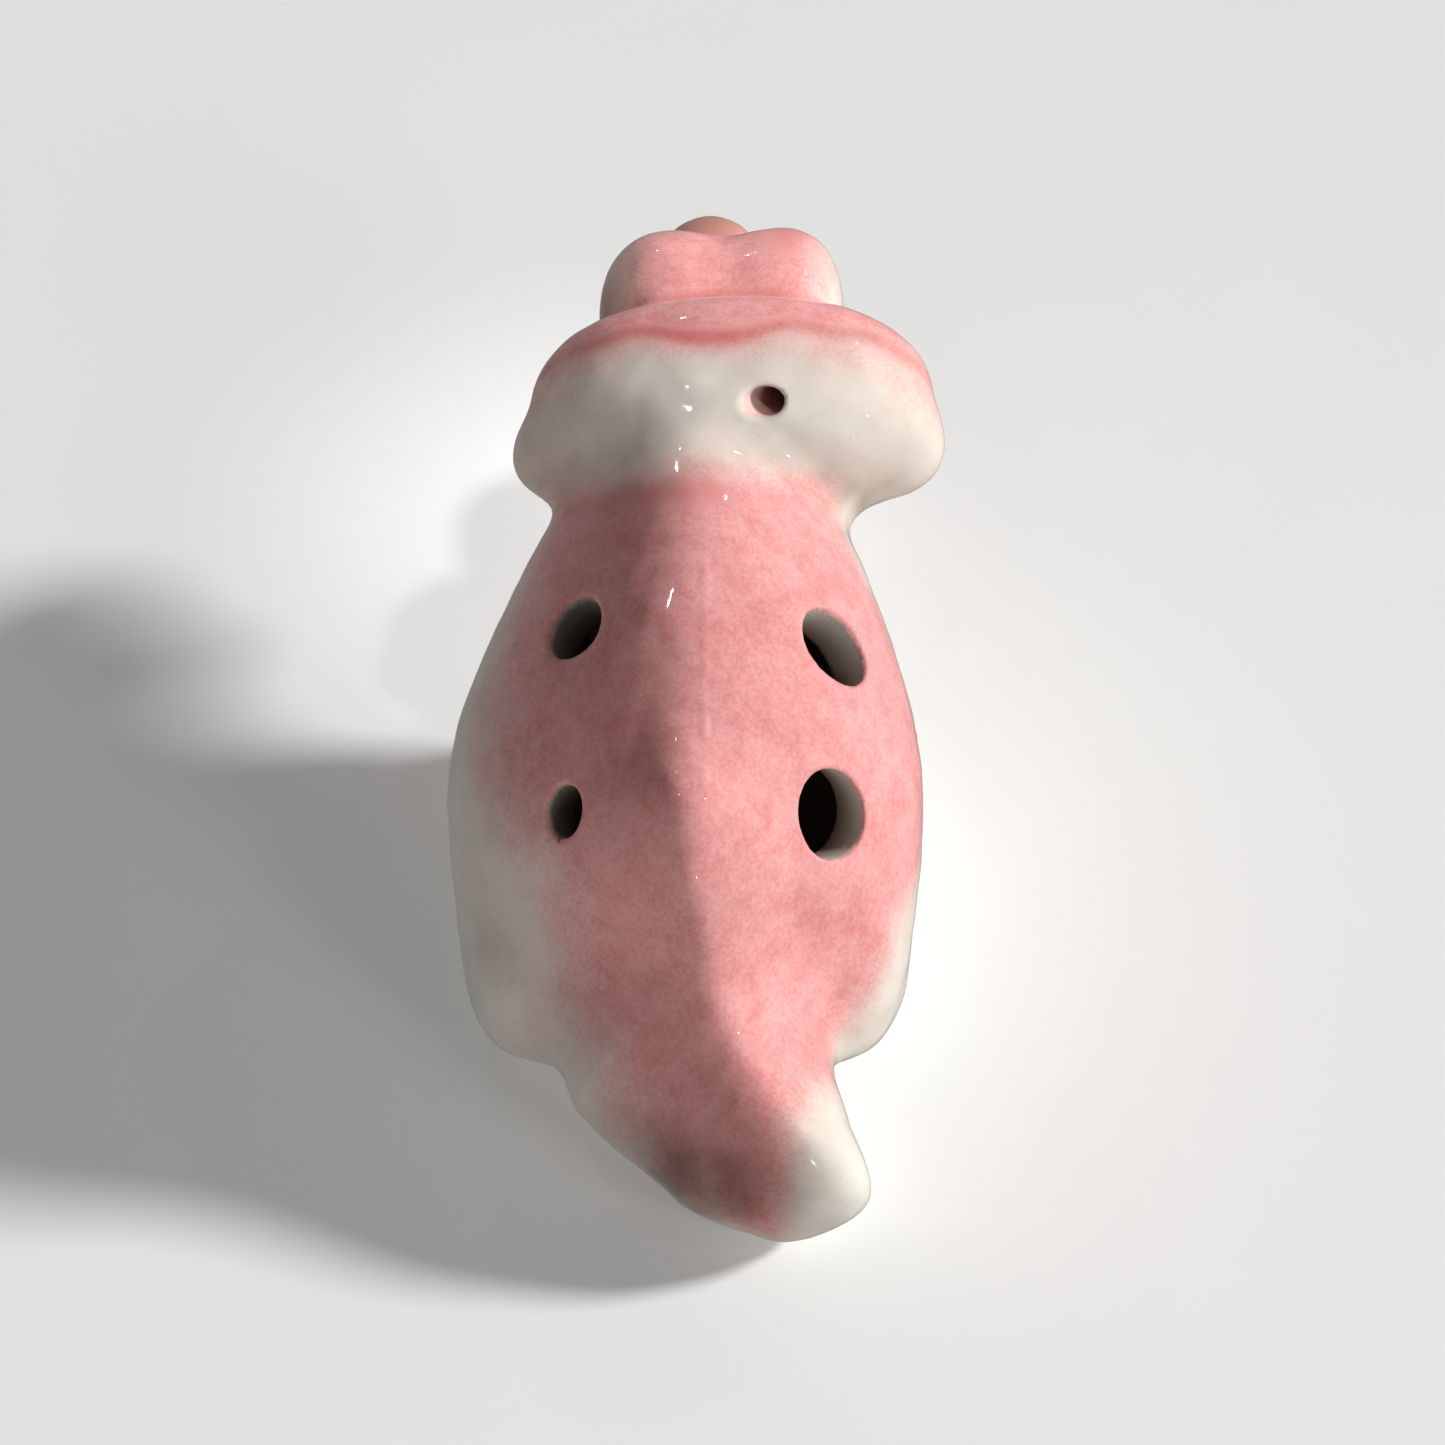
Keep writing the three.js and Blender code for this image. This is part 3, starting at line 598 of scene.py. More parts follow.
def crossings(values):
    """The grid edges that cross the surface: their near node, axis, way out, place and limit."""
    found = []
    inside_all = values.max(0) < 0
    for axis in range(3):
        first = np.take(inside_all, np.arange(inside_all.shape[axis] - 1), axis)
        second = np.take(inside_all, np.arange(1, inside_all.shape[axis]), axis)
        nodes = np.argwhere(first != second)
        step = np.eye(3, dtype=int)[axis]
        outward = first[tuple(nodes.T)]
        start, end = values[(slice(None), *nodes.T)], values[(slice(None), *(nodes + step).T)]
        within, without = np.where(outward, start, end), np.where(outward, end, start)
        share = np.where(without > 0, within / np.minimum(within - without, -1e-9), np.inf)
        limit = share.argmin(0)
        share = np.clip(share.min(0), 0, 1)
        place = nodes + np.where(outward, share, 1 - share)[:, None] * step
        found.append((nodes, np.full(len(nodes), axis), outward, place, limit))
    return [np.concatenate(column) for column in zip(*found)]


def best_points(cells, places, normals, low, cell):
    """The point of each cell closest to all of the surface planes crossing it, and their plain mean."""
    count = cells.max() + 1

    def gather(weights):
        return np.bincount(cells, weights, count)

    number = gather(np.ones(len(cells)))
    middle = np.stack([gather(places[:, i]) for i in range(3)], -1) / number[:, None]
    offset = ((places - middle[cells]) * normals).sum(1)
    spread = np.empty((count, 3, 3))
    pull = np.empty((count, 3))
    for i in range(3):
        pull[:, i] = gather(normals[:, i] * offset)
        for j in range(3):
            spread[:, i, j] = gather(normals[:, i] * normals[:, j])
    sizes, axes = np.linalg.eigh(spread)
    strong = sizes > FLAT * sizes[:, -1:]
    amounts = np.where(strong, (axes * pull[:, :, None]).sum(1) / np.maximum(sizes, 1e-9), 0)
    return np.clip(middle + (axes * amounts[:, None]).sum(2), low, low + cell), middle


def settle(points, limits, touched):
    """Moves each point on to the exact surface, and along a joint's edge, of the limits it touches."""
    codes = touched @ (1 << np.arange(len(limits)))
    for code in np.unique(codes):
        rows = np.flatnonzero(codes == code)
        active = [limit for number, limit in enumerate(limits) if code >> number & 1][:3]
        for _ in range(SETTLE_STEPS):
            here = points[rows]
            misses = np.stack([limit(here) for limit in active], -1)
            slopes = np.stack([gradient(limit, here) for limit in active], 1)
            moves = -(np.linalg.pinv(slopes, rcond=SAME_EDGE) @ misses[..., None])[..., 0]
            lengths = np.linalg.norm(moves, axis=1, keepdims=True)
            points[rows] = here + moves * np.minimum(1, LONGEST_SETTLE / np.maximum(lengths, 1e-9))
    return points


def cells_round_edge():
    """The steps from a grid edge's near node to the four cells round it, for each axis."""
    around = np.array([(0, 0), (-1, 0), (-1, -1), (0, -1)])
    steps = np.zeros((3, 4, 3), int)
    for axis in range(3):
        steps[axis][:, (axis + 1) % 3] = around[:, 0]
        steps[axis][:, (axis + 2) % 3] = around[:, 1]
    return steps


def contour(limits, box, cell):
    """Meshes what is inside every limit with quads, keeping the edges between limits crisp."""
    low = np.array(box[0], float)
    size = np.ceil((np.array(box[1]) - low) / (cell * BLOCK)).astype(int) + 1
    nodes, axes, outward, places, kinds = crossings(sample(limits, low, size, cell))
    places = low + places * cell
    normals = np.empty_like(places)
    for kind, limit in enumerate(limits):
        mine = kinds == kind
        if mine.any():
            normals[mine] = gradient(limit, places[mine])
    corners = nodes[:, None] + cells_round_edge()[axes]
    shape = size * BLOCK
    flat = np.ravel_multi_index(tuple(corners.reshape(-1, 3).T), shape)
    names, quads = np.unique(flat, return_inverse=True)
    quads = quads.reshape(-1, 4)
    cell_low = low + np.stack(np.unravel_index(names, shape), -1) * cell
    points, middle = best_points(quads.ravel(), places.repeat(4, 0), normals.repeat(4, 0), cell_low, cell)
    touched = np.zeros((len(names), len(limits)), int)
    touched[quads.ravel(), kinds.repeat(4)] = 1
    points = settle(points, limits, touched)
    quads = np.where(outward[:, None], quads, quads[:, ::-1])
    for _ in range(SETTLE_STEPS):
        folded = quads[(facing_of(points, quads) * normals).sum(1) < FOLDED]
        points[folded] = middle[folded]
    return points, quads, kinds


def facing_of(points, quads):
    """The way that each quad faces."""
    a, b, c, d = (points[quads[:, i]] for i in range(4))
    normals = np.cross(c - a, d - b)
    return normals / np.maximum(np.linalg.norm(normals, axis=1, keepdims=True), 1e-12)


def corner_normals(points, quads, kinds, limits):
    """Each face corner's normal, from the limit that the face lies on."""
    limits = [getattr(limit, "shown", limit) for limit in limits]
    normals = np.empty((*quads.shape, 3))
    for kind in np.unique(kinds):
        mine = kinds == kind
        used, where = np.unique(quads[mine], return_inverse=True)
        normals[mine] = gradient(limits[kind], points[used])[where.reshape(-1, 4)]
    return normals.reshape(-1, 3)


# ---------------------------------------------------------------- glaze layout
SPRAY_SPINE = [
    ((1, 2), 17.3),
    ((3.4, -10), 22.3),
    ((4.1, -25), 16),
    ((3.6, -33.5), 12.2),
    ((4.8, -42), 7.2),
    ((7, -47.6), 3.4),
    ((8.9, -51), 0.8),
]
SPRAY_FRONT = beyond((2, 12.6, 46), (0, 0.86, 0.51))
SPRAY_LOWEST = dict(body=18.5, rear=-20, slope=0.42, blur=4)
SPRAY_FILLET = 2
SPRAY_REACH = 12
BACK_SOFTNESS = dict(middle=1.3, change=0.6, over=12)
FACE_SOFTNESS = dict(middle=0.4, change=0.07, x=3)
FACE_LINE = 23.7
DRIP = dict(length=1.9, x=-1.6, width=4, lean=0.02, ripple=0.3, rate=0.8)
FACE_LOWEST = 40
MUZZLE_SIDES = dict(x=4.4, out=10.6, from_y=33, to_y=35)
RED_DRIP = dict(behind=1.7, width=1.5, above=45, share=0.9)
RED_NAPE = dict(behind=2.4, width=2.2, left=1.4, fade_x=6, least=0.3, share=0.7)
RED_LOBE = dict(at=(13.2, 43.6, 50.6), width=4.6)
RED_LOBE_SHARE = 0.8
TANNED = [dict(at=(2.9, 51, 46), width=5), dict(at=(-8.4, 38, 47), width=4.5)]
# Painted shade: spots on the tail's lower left, darkened where it lies low in shadow.
TAIL_SHADE_SPOTS = [dict(at=(-1.5, -46.5, 9), width=8), dict(at=(4, -50.5, 13), width=5)]
BLUSH = dict(at=(3.6, 8.6, 53), width=6.5)
BLUSH_SHARE, CORD_HOLE_BLUSH = 0.34, 0.6
spray_parts = [
    round_cone((*near[0], 0), (*far[0], 0), near[1], far[1])
    for near, far in zip(SPRAY_SPINE, SPRAY_SPINE[1:])
]


def back_spray(p):
    """Distance outside the pink of the back and tail, as sprayed from above."""
    plan = p * (1, 1, 0)
    f = spray_parts[0](plan)
    for part in spray_parts[1:]:
        f = blend(f, part(plan), SPRAY_FILLET)
    behind = np.minimum(p[:, 1] - SPRAY_LOWEST["rear"], 0)
    lowest = SPRAY_LOWEST["body"] + SPRAY_LOWEST["slope"] * behind
    return np.maximum(cut(f, lowest - p[:, 2], SPRAY_LOWEST["blur"]), SPRAY_FRONT(p))


def face_edge(p):
    """Distance behind the uneven drip of pink that ends the face on top of the head."""
    x = p[:, 0] - SKULL["at"][0]
    drip = DRIP["length"] * np.exp(-(((x - DRIP["x"]) / DRIP["width"]) ** 2))
    wave = DRIP["lean"] * x + DRIP["ripple"] * np.sin(DRIP["rate"] * x)
    return FACE_LINE - drip - wave - p[:, 1]


def face_spray(p):
    """Distance outside the pink of the face, which stops above the cheeks and at the muzzle's sides."""
    sides = np.abs(p[:, 0] - MUZZLE_SIDES["x"]) - MUZZLE_SIDES["out"]
    on_muzzle = smooth_step(p[:, 1], MUZZLE_SIDES["from_y"], MUZZLE_SIDES["to_y"])
    below = (FACE_LOWEST - p[:, 2]) * (1 - on_muzzle) - SPRAY_REACH * on_muzzle
    beside = sides * on_muzzle - SPRAY_REACH * (1 - on_muzzle)
    return np.maximum(np.maximum(face_edge(p), below), beside)


def on_surface(field, points, normals, step=0.05, least_slope=0.2):
    """A spray distance, measured along the surface instead of straight through space."""
    change = sum(field(points + step * corner)[:, None] * corner for corner in TETRAHEDRON)
    slope = change / (4 * step)
    along = slope - (slope * normals).sum(1, keepdims=True) * normals
    return field(points) / (np.linalg.norm(along, axis=1) + least_slope)


def hollowness(points, reach=1.3):
    """How far the surface curls in on itself: above 0 in a crease, below 0 on a rim, in 1/mm."""
    around = sum(clay(points + reach * corner / math.sqrt(3)) for corner in TETRAHEDRON) / 4
    return -(around - clay(points)) * 6 / reach**2


def redness(points, back, face):
    """Where the pink was laid on thickest: along the drip, at the nape's edge and on one lobe."""
    drip = np.exp(-(((face_edge(points) + RED_DRIP["behind"]) / RED_DRIP["width"]) ** 2))
    drip = RED_DRIP["share"] * drip * (points[:, 2] > RED_DRIP["above"])
    nape = np.exp(-(((SPRAY_FRONT(points) + RED_NAPE["behind"]) / RED_NAPE["width"]) ** 2))
    to_left = np.clip(RED_NAPE["left"] - points[:, 0] / RED_NAPE["fade_x"], RED_NAPE["least"], 1)
    nape = RED_NAPE["share"] * nape * to_left
    lobe = RED_LOBE_SHARE * near_to(points, **RED_LOBE)
    return np.where(np.minimum(back, face) < 1, drip + nape + lobe, 0)


def strewn(points, spots):
    """How near each point is to any of some spots."""
    return sum(near_to(points, **spot) for spot in spots)


def glaze_layout(points):
    """The values that the glaze materials read at each vertex, by name."""
    normals = gradient(clay, points)
    back, face = on_surface(back_spray, points, normals), on_surface(face_spray, points, normals)
    to_right = np.clip(points[:, 0] / BACK_SOFTNESS["over"], -1, 1)
    back_softness = BACK_SOFTNESS["middle"] - BACK_SOFTNESS["change"] * to_right
    to_side = np.abs(points[:, 0] - FACE_SOFTNESS["x"])
    face_softness = FACE_SOFTNESS["middle"] + FACE_SOFTNESS["change"] * to_side
    spray = -np.minimum(back / back_softness, face / face_softness)
    sunk = -clay(points)
    in_cord_hole = np.clip(1 - cord_way(points), 0, 1) * smooth_step(sunk, 0, 0.5)
    # Painted shade: on the left side, surfaces sunk below the clay's outside, chiefly the hole walls, are
    # darkened.
    in_left_holes = smooth_step(sunk, 0.3, 1) * (points[:, 0] < 0)
    return {
        "spray": np.clip(spray, -SPRAY_REACH, SPRAY_REACH),
        "sunk": np.clip(sunk, -2, 12),
        # crease: drives the painted shade in creases.
        "crease": np.clip(hollowness(points), -1, 1),
        "red": np.clip(redness(points, back, face), 0, 1),
        "tan": np.clip(strewn(points, TANNED), 0, 1),
        # Painted shade on the tail's lower left and in the left-hand holes.
        "painted_shade": np.clip(strewn(points, TAIL_SHADE_SPOTS) + in_left_holes, 0, 1),
        "haze": BLUSH_SHARE * near_to(points, **BLUSH) + CORD_HOLE_BLUSH * in_cord_hole,
    }


# ---------------------------------------------------------------- materials
def linear(red, green, blue):
    """A colour of 0 to 255 for each channel, as a shader holds it."""
    shares = [channel / 255 for channel in (red, green, blue)]
    light = [c / 12.92 if c < 0.04045 else ((c + 0.055) / 1.055) ** 2.4 for c in shares]
    return (*light, 1)


CREAM = linear(233, 229, 217)
GREY_CREAM = linear(219, 216, 203)
ROSE = linear(246, 178, 175)
DEEP_ROSE = linear(210, 108, 105)
TAN = linear(172, 122, 104)
# Painted shade colour, multiplied over the glaze where it lies in shadow.
SHADE_TINT = linear(160, 156, 148)
SPECK = linear(112, 92, 78)
# Painted shade for creases on the cream glaze.
CREASE_SHADE = linear(188, 176, 160)
WALL_CLAY = linear(220, 212, 200)
# Painted shade deep inside the holes.
HOLE_SHADE_CLAY = linear(142, 122, 110)
BISQUE = linear(214, 200, 186)
DARK_BISQUE = linear(196, 180, 166)
BEAD = linear(24, 19, 18)
THIN_BEAD = linear(52, 36, 30)
PAPER = linear(248, 248, 247)
DULL_PAPER = linear(243, 243, 242)

CLOUDS = dict(size=7, detail=4, rough=0.55)
BLOTS = dict(size=2.4, detail=4, rough=0.6)
MIST = dict(size=0.8, detail=3, rough=0.65)
GRAIN = dict(size=0.4, detail=2, rough=0.7)
FINE_SPECKS = dict(spacing=0.75, size=0.1)
COARSE_SPECKS = dict(spacing=1.3, size=0.14)
CLAY_SPECKS = dict(spacing=0.8, size=0.15)
GLAZE_IOR = 1.5
GLAZE_ROUGHNESS, WALL_ROUGHNESS, CLAY_ROUGHNESS = 0.06, 0.7, 0.8
BEAD_ROUGHNESS, PAPER_ROUGHNESS = 0.08, 0.7
PAPER_GLOW = 0.12


class Shader:
    """A material whose nodes are made and joined by short calls."""

    def __init__(self, name):
        self.material = bpy.data.materials.new(name)
        self.material.use_nodes = True
        self.tree = self.material.node_tree
        self.surface = self.tree.nodes["Principled BSDF"]
        place = self.tree.nodes.new("ShaderNodeTexCoord")
        in_mm = self.tree.nodes.new("ShaderNodeVectorMath")
        in_mm.operation = "SCALE"
        self.plug(in_mm.inputs["Scale"], 1000)
        self.plug(in_mm.inputs[0], place.outputs["Object"])
        self.place = in_mm.outputs[0]

    def plug(self, socket, value):
        """Joins an output to a socket, or sets the socket to a plain value."""
        if isinstance(value, bpy.types.NodeSocket):
            self.tree.links.new(value, socket)
        else:
            socket.default_value = value

    def math(self, operation, *values):
        node = self.tree.nodes.new("ShaderNodeMath")
        node.operation = operation
        for socket, value in zip(node.inputs, values):
            self.plug(socket, value)
        return node.outputs[0]

    def times(self, value, factor):
        return self.math("MULTIPLY", value, factor)

    def swing(self, cloud, width):
        """A cloud as a number that swings about 0, by half that width at most."""
        return self.times(self.math("SUBTRACT", cloud, 0.5), width)

    def value(self, name):
        """What glaze_layout worked out under that name."""
        node = self.tree.nodes.new("ShaderNodeAttribute")
        node.attribute_name = name
        return node.outputs["Fac"]

    def noise(self, size, detail=3, rough=0.5):
        """Smooth random cloud from 0 to 1, with blots about so many mm across."""
        node = self.tree.nodes.new("ShaderNodeTexNoise")
        self.plug(node.inputs["Vector"], self.place)
        node.inputs["Scale"].default_value = 1 / size
        node.inputs["Detail"].default_value = detail
        node.inputs["Roughness"].default_value = rough
        return node.outputs["Fac"]

    def ramp(self, value, low, high, to_low=0, to_high=1):
        """A smooth step from to_low, where value is low, to to_high, where it is high."""
        node = self.tree.nodes.new("ShaderNodeMapRange")
        node.interpolation_type = "SMOOTHSTEP"
        for socket, number in zip(node.inputs, (value, low, high, to_low, to_high)):
            self.plug(socket, number)
        return node.outputs[0]

    def mix(self, share, a, b, blend_type="MIX"):
        node = self.tree.nodes.new("ShaderNodeMix")
        node.data_type = "RGBA"
        node.blend_type = blend_type
        self.plug(node.inputs[0], share)
        self.plug(node.inputs[6], a)
        self.plug(node.inputs[7], b)
        return node.outputs[2]

    def bump(self, height, depth, under=None):
        """Raises the surface by depth mm where height is 1."""
        node = self.tree.nodes.new("ShaderNodeBump")
        node.inputs["Strength"].default_value = 1
        node.inputs["Distance"].default_value = depth / 1000
        self.plug(node.inputs["Height"], height)
        if under is not None:
            self.plug(node.inputs["Normal"], under)
        return node.outputs[0]


def specks(shader, spacing, size):
    """Round dots strewn at about that spacing, 1 at their middles."""
    node = shader.tree.nodes.new("ShaderNodeTexVoronoi")
    shader.plug(node.inputs["Vector"], shader.place)
    node.inputs["Scale"].default_value = 1 / spacing
    dots = shader.ramp(node.outputs["Distance"], size / spacing, 0.4 * size / spacing)
    chosen = shader.tree.nodes.new("ShaderNodeSeparateColor")
    shader.plug(chosen.inputs[0], node.outputs["Color"])
    return shader.math("MULTIPLY", dots, shader.ramp(chosen.outputs[0], 0.55, 0.75))


def pink_share(s, clouds, mist, grain):
    """How much of the glaze is pink: the spray with its soft, spattered edge, and faint hazes."""
    spray = s.value("spray")
    edge = s.math("ADD", spray, s.math("ADD", s.swing(clouds, 3), s.swing(grain, 3)))
    sprayed = s.math("ADD", s.ramp(edge, -3, 3, 0, 0.8), s.ramp(spray, -11, 0, 0, 0.2))
    haze = s.times(s.value("haze"), s.ramp(mist, 0.3, 0.65, 0.7, 1))
    return s.math("MAXIMUM", sprayed, haze)


def rose_coat(s, clouds, blots, mist, grain):
    """The pink itself, deeper in blots and where the spray was laid on thickly."""
    uneven = s.math("ADD", s.times(blots, 0.7), s.times(clouds, 0.5))
    fine = s.math("ADD", s.times(grain, 0.6), s.times(mist, 0.4))
    thick = s.times(s.ramp(uneven, 0.42, 0.82), 0.38)
    thick = s.math("ADD", thick, s.ramp(fine, 0.38, 0.64, 0, 0.25))
    red = s.times(s.value("red"), s.ramp(blots, 0.2, 0.6, 0.7, 1))
    return s.mix(s.math("MAXIMUM", thick, red), ROSE, DEEP_ROSE)


def cream_coat(s, clouds):
    """The cream ground, greyer in clouds, with fine specks."""
    cream = s.mix(s.ramp(clouds, 0.35, 0.75), CREAM, GREY_CREAM)
    return s.mix(s.times(specks(s, **FINE_SPECKS), 0.4), cream, SPECK)


def hole_walls(s, sunk):
    """Dry clay, darkened further in as painted shade, and pink where the spray blew into the hole."""
    walls = s.mix(s.ramp(sunk, 0.4, 4), WALL_CLAY, HOLE_SHADE_CLAY)
    return s.mix(s.times(s.value("haze"), 0.7), walls, ROSE)


def glaze_relief(s, bare):
    """Slow waves and fine orange peel in the glaze, and grit where the clay is bare."""
    waves = s.bump(s.noise(4.5, 2, 0.5), 0.06)
    peel = s.bump(s.noise(0.9, 3, 0.6), 0.008, waves)
    return s.bump(s.times(bare, s.noise(0.4, 3, 0.7)), 0.05, peel)


def glaze(name):
    """Glossy cream glaze with airbrushed pink where it is sprayed, and dry clay inside the holes, with
    painted shade in creases, deep in the holes, in the left-hand holes and on the tail's lower left.
    """
    s = Shader(name)
    clouds, blots = s.noise(**CLOUDS), s.noise(**BLOTS)
    mist, grain = s.noise(**MIST), s.noise(**GRAIN)
    sunk = s.value("sunk")
    pink = pink_share(s, clouds, mist, grain)
    colour = s.mix(pink, cream_coat(s, clouds), rose_coat(s, clouds, blots, mist, grain))
    colour = s.mix(s.times(s.value("tan"), 0.9), colour, TAN)
    # Painted shade: creases are darkened, cream towards grey clay and pink towards deep rose.
    crease_shaded = s.mix(pink, CREASE_SHADE, DEEP_ROSE)
    colour = s.mix(s.ramp(s.value("crease"), 0.05, 0.5, 0, 0.45), colour, crease_shaded)
    colour = s.mix(s.times(specks(s, **COARSE_SPECKS), 0.3), colour, SPECK)
    bare = s.ramp(s.math("ADD", sunk, s.swing(blots, 0.4)), 0.3, 0.9)
    colour = s.mix(bare, colour, hole_walls(s, sunk))
    # Painted shade: darkens the tail's lower left and the left-hand hole walls.
    painted_shade = s.times(s.value("painted_shade"), s.ramp(clouds, 0.2, 0.6, 0.7, 1))
    colour = s.mix(painted_shade, colour, SHADE_TINT, "MULTIPLY")
    s.plug(s.surface.inputs["Base Color"], colour)
    s.plug(s.surface.inputs["Roughness"], s.ramp(bare, 0, 1, GLAZE_ROUGHNESS, WALL_ROUGHNESS))
    s.surface.inputs["IOR"].default_value = GLAZE_IOR
    s.plug(s.surface.inputs["Normal"], glaze_relief(s, bare))
    return s.material


def bare_clay(name):
    """Fired clay without glaze: dry, buff and finely gritty."""
    s = Shader(name)
    clouds, grit = s.noise(5, 4, 0.6), s.noise(0.3, 3, 0.7)
    colour = s.mix(clouds, BISQUE, DARK_BISQUE)
    colour = s.mix(s.times(specks(s, **CLAY_SPECKS), 0.5), colour, SPECK)
    s.plug(s.surface.inputs["Base Color"], colour)
    s.surface.inputs["Roughness"].default_value = CLAY_ROUGHNESS
    s.plug(s.surface.inputs["Normal"], s.bump(grit, 0.04))
    return s.material


def eye_glaze(name):
    """Dark brown glaze, pooled almost black, under a hard shine."""
    s = Shader(name)
    colour = s.mix(s.noise(1.2, 3, 0.6), BEAD, THIN_BEAD)
    s.plug(s.surface.inputs["Base Color"], colour)
    s.surface.inputs["Roughness"].default_value = BEAD_ROUGHNESS
    s.plug(s.surface.inputs["Normal"], s.bump(s.noise(0.8, 2, 0.5), 0.01))
    return s.material


def pale_floor(name):
    """Matt white paper that glows a little, so that it stays pale in the shade."""
    s = Shader(name)
    s.plug(s.surface.inputs["Base Color"], s.mix(s.noise(60, 2), PAPER, DULL_PAPER))
    s.surface.inputs["Roughness"].default_value = PAPER_ROUGHNESS
    s.surface.inputs["Emission Color"].default_value = (1, 1, 1, 1)
    s.surface.inputs["Emission Strength"].default_value = PAPER_GLOW
    return s.material


MATERIALS = {
    "pink_glaze": glaze("pink_glaze"),
    "cream_glaze": glaze("cream_glaze"),
    "bare_clay": bare_clay("bare_clay"),
    "eye_glaze": eye_glaze("eye_glaze"),
}


# ---------------------------------------------------------------- pieces
def grounded_clay(p):
    """The clay without its holes, for the pieces that close the windway."""
    return cut(clay(p), -p[..., 2], FILLET["ground"])


def neck_plug(p):
    """The disc that closes the air chamber off from the head."""
    at, facing = np.array(NECK[0], float), unit(NECK[1])
    along = (p - at) @ facing + PLUG_THICKNESS / 2
    out = np.linalg.norm((p - at) - ((p - at) @ facing)[..., None] * facing, axis=-1)
    disc = cut(out - PLUG_RADIUS, np.abs(along) - PLUG_THICKNESS / 2, PLUG_ROUNDING)
    return disc + hand_wobble(p)


apart = [clear_of(name) for name in REGIONS if name != "chin"]
shell = [neck_front, TAIL_JOINT, *apart, hollowed(cover_slot), hollowed(labium_slot)]
head = [MUZZLE_JOINT, EAR_LEFT_JOINT, EAR_RIGHT_JOINT]
tail_apart = [clear_of("haunch_left"), clear_of("haunch_right"), hollowed(cover_slot)]
eye_sockets = [hollowed(eye) for eye in eyes]

PIECES = {
    "body_shell_left": ("pink_glaze", CELL, [skin, *shell, SEAM]),
    "body_shell_right": ("pink_glaze", CELL, [*lapped(SEAM), *shell]),
    "tail_mouthpiece": ("pink_glaze", CELL, [*lapped(TAIL_JOINT), *tail_apart]),
    "windway_cover": ("cream_glaze", CELL, [grounded_clay, cover_slot]),
    "labium_insert": ("cream_glaze", FINER_CELL, [grounded_clay, labium_wedge]),
    "neck_plug": ("bare_clay", CELL, [neck_plug]),
    "head_back": ("cream_glaze", FINE_CELL, [*lapped(neck_front), *head, BROW]),
    "head_front": ("pink_glaze", CELL, [*lapped(neck_front, BROW), *head, *eye_sockets]),
    "ear_left": ("cream_glaze", CELL, lapped(EAR_LEFT_JOINT, neck_front)),
    "ear_right": ("cream_glaze", CELL, lapped(EAR_RIGHT_JOINT, neck_front)),
    "muzzle_left": ("pink_glaze", CELL, [*lapped(MUZZLE_JOINT), clear_of("chin"), CREASE]),
    "muzzle_right": ("pink_glaze", CELL, [*lapped(MUZZLE_JOINT, CREASE), clear_of("chin")]),
    "eye_left": ("eye_glaze", EYE_CELL, [eyes[0]]),
    "eye_right": ("eye_glaze", EYE_CELL, [eyes[1]]),
}
for name, joints in REGIONS.items():
    PIECES[name] = ("pink_glaze" if name == "chin" else "cream_glaze", CELL, lapped(*joints))


def make_piece(name, slot, cell, limits):
    """Meshes one piece in the space of its CAD node, with its glaze layout and its true normals."""
    low, high = (np.array(corner) * 1000 + BASE_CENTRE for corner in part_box(name))
    limits = [*limits, lambda p: (np.abs(p - (low + high) / 2) - (high - low) / 2).max(-1) - ROOM]
    points, quads, kinds = contour(limits, (low - ROOM - 2 * cell, high + ROOM + 2 * cell), cell)
    mesh = bpy.data.meshes.new(name)
    mesh.from_pydata(((points - BASE_CENTRE) / 1000).tolist(), [], quads.tolist())
    mesh.polygons.foreach_set("use_smooth", np.ones(len(quads), bool))
    normals = corner_normals(points, quads, kinds, limits)
    mesh.normals_split_custom_set(normals.tolist())
    for key, numbers in glaze_layout(points).items():
        mesh.attributes.new(key, "FLOAT", "POINT").data.foreach_set("value", numbers.astype(np.float32))
    mesh.materials.append(MATERIALS[slot])
    piece = bpy.data.objects.new("clay_" + name, mesh)
    bpy.context.scene.collection.objects.link(piece)
    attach(piece, "root")
    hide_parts(name)
    return piece


for name, (slot, cell, limits) in PIECES.items():
    make_piece(name, slot, cell, limits)


# ---------------------------------------------------------------- floor, light and camera
FLOOR_ACROSS = 6  # m
SUN_DISTANCE = 500
OVERHEAD, HORIZON = 0.06, 0.22
KEY = dict(source=(0.86, 0.14, 0.47), degrees=8, strength=3.4)
FILL = dict(at=(380, -380, 320), size=160, watts=0.4, glints=False)
FACE_LIGHT = dict(at=(150, -40, 430), towards=(4, 40, 50), degrees=9, size=20, watts=3.3)
LAMPS_TOWARDS = (0, 0, 25)
CAMERA = dict(at=(2.66, -214.3, 277.1), towards=(2.66, -2.2, 24.3))
LENS, SENSOR = 78.9, 36


def make_floor():
    bpy.ops.mesh.primitive_plane_add(size=FLOOR_ACROSS)
    floor = bpy.context.object
    floor.name = "floor"
    floor.data.materials.append(pale_floor("pale_floor"))
    floor.visible_glossy = False


def look(thing, at, towards):
    """Places a camera or lamp in mm, facing a point in mm."""
    direction = np.array(towards, float) - at
    thing.location = np.array(at) / 1000
    z = -unit(direction)
    x = unit(np.cross((0, 0, 1), z))
    thing.rotation_mode = "QUATERNION"
    thing.rotation_quaternion = Matrix(np.stack([x, np.cross(z, x), z], 1).tolist()).to_quaternion()


def make_light(name, kind, at, towards, glints):
    """A light that shines on something; glints says whether the glaze mirrors it."""
    light = bpy.data.lights.new(name, kind)
    thing = bpy.data.objects.new(name, light)
    bpy.context.scene.collection.objects.link(thing)
    thing.visible_glossy = glints
    look(thing, at, towards)
    return light


def make_lamp(name, at, size, watts, glints):
    lamp = make_light(name, "AREA", at, LAMPS_TOWARDS, glints)
    lamp.shape = "DISK"
    lamp.size = size / 1000
    lamp.energy = watts


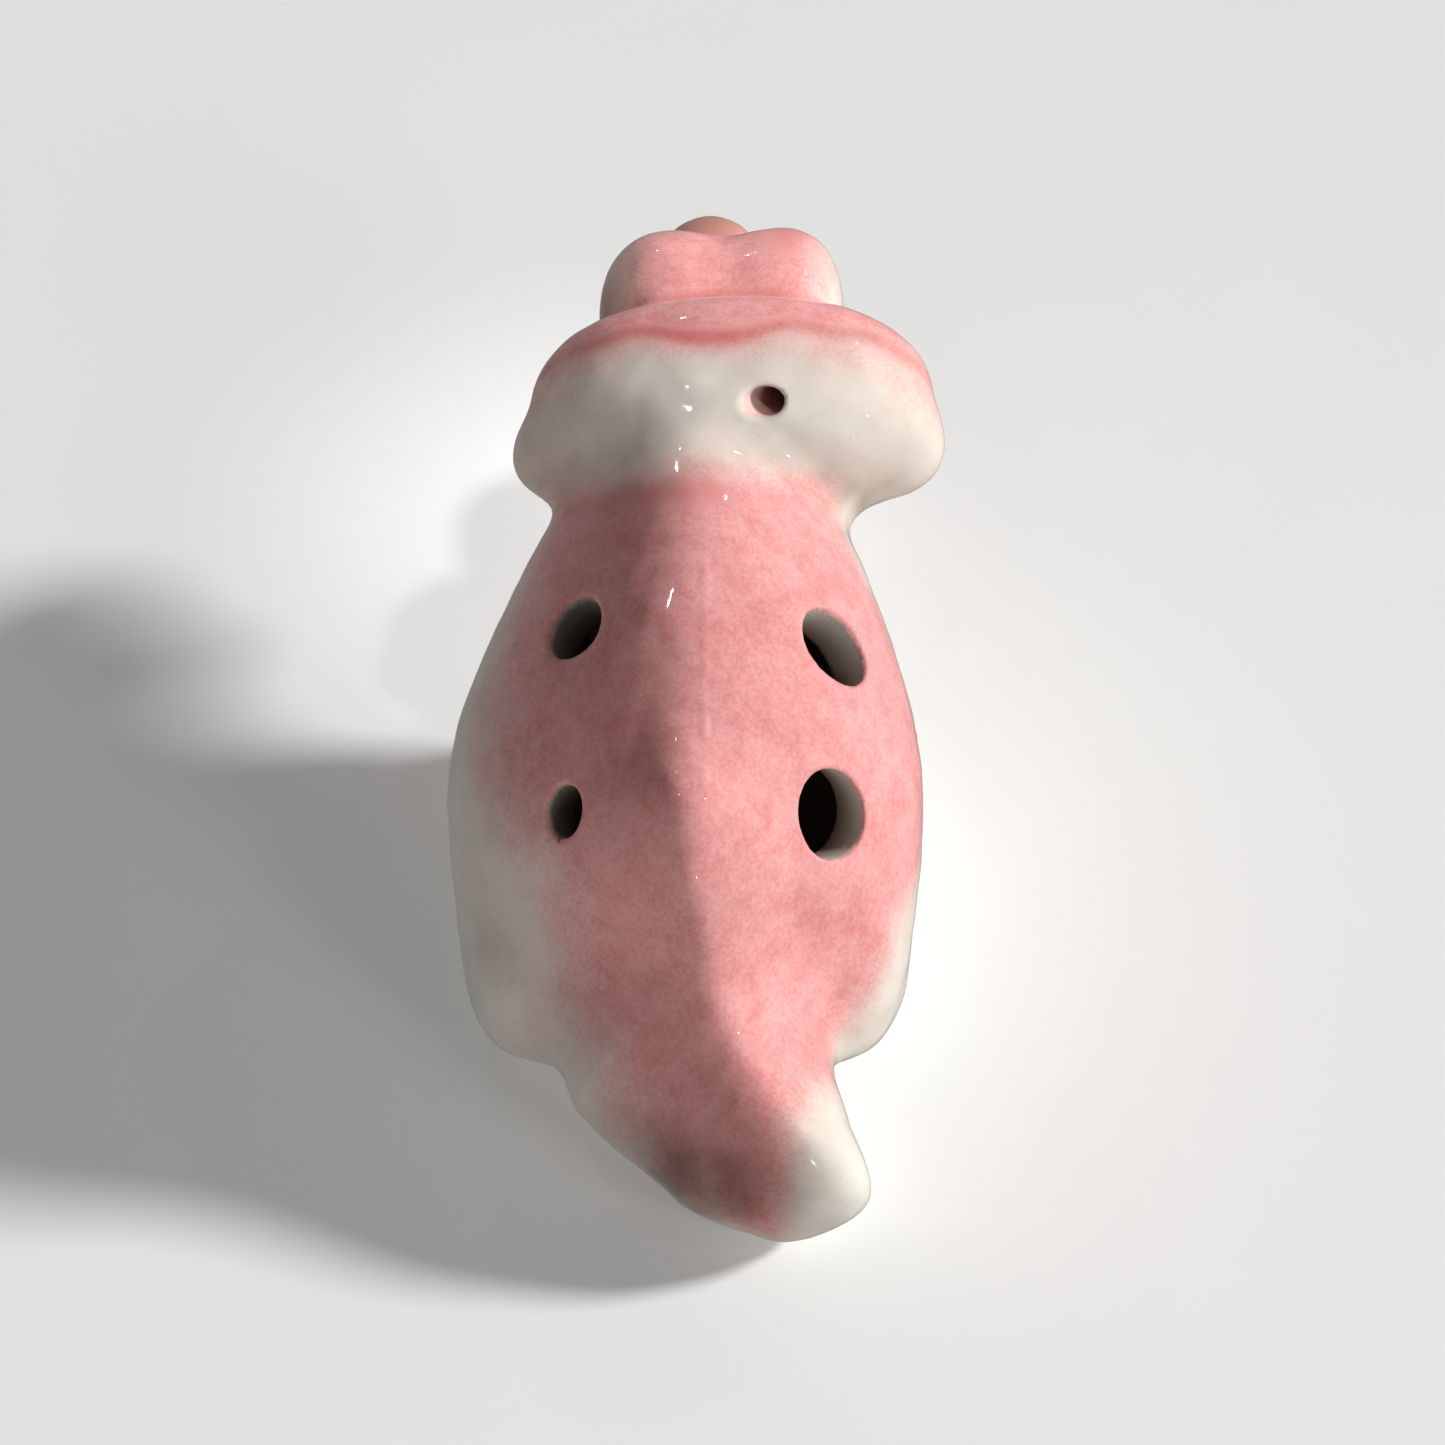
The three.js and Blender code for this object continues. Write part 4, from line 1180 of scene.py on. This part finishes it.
def make_key(source, degrees, strength):
    key = make_light("key", "SUN", np.array(source) * SUN_DISTANCE, (0, 0, 0), False)
    key.angle = math.radians(degrees)
    key.energy = strength


def make_face_light(at, towards, degrees, size, watts):
    """A narrow soft light on the muzzle, which the key only grazes."""
    spot = make_light("face_light", "SPOT", at, towards, False)
    spot.spot_size = math.radians(degrees)
    spot.spot_blend = 1
    spot.shadow_soft_size = size / 1000
    spot.energy = watts


def make_world(overhead, horizon):
    """Soft white light from all round, stronger from low down than from overhead."""
    world = bpy.data.worlds.new("studio")
    world.use_nodes = True
    nodes, links = world.node_tree.nodes, world.node_tree.links
    place = nodes.new("ShaderNodeTexCoord")
    height = nodes.new("ShaderNodeSeparateXYZ")
    fade = nodes.new("ShaderNodeMapRange")
    links.new(place.outputs["Generated"], height.inputs[0])
    links.new(height.outputs["Z"], fade.inputs["Value"])
    fade.inputs["To Min"].default_value = horizon
    fade.inputs["To Max"].default_value = overhead
    links.new(fade.outputs[0], nodes["Background"].inputs["Strength"])
    nodes["Background"].inputs["Color"].default_value = (1, 1, 1, 1)
    bpy.context.scene.world = world


def make_camera():
    camera = bpy.data.objects.new("camera", bpy.data.cameras.new("camera"))
    bpy.context.scene.collection.objects.link(camera)
    camera.data.lens = LENS
    camera.data.sensor_width = SENSOR
    camera.data.clip_start = 0.01
    look(camera, **CAMERA)
    bpy.context.scene.camera = camera


SPARKLE = dict(size=12, watts=0.024, glints=True)
SPARKLE_DISTANCE = 520
SPARKLES = [
    (-0.22, -0.52, 0.82),
    (-0.24, 0.17, 0.95),
    (-0.18, 0.8, 0.57),
    (0.45, 0.6, 0.66),
    (0.66, -0.36, 0.66),
    (0.34, -0.93, 0.14),
]

make_floor()
make_world(OVERHEAD, HORIZON)
make_key(**KEY)
make_lamp("fill", **FILL)
make_face_light(**FACE_LIGHT)
for number, aim in enumerate(SPARKLES):
    make_lamp(f"sparkle_{number}", SPARKLE_DISTANCE * unit(aim), **SPARKLE)
make_camera()
bpy.context.scene.view_settings.view_transform = "Standard"
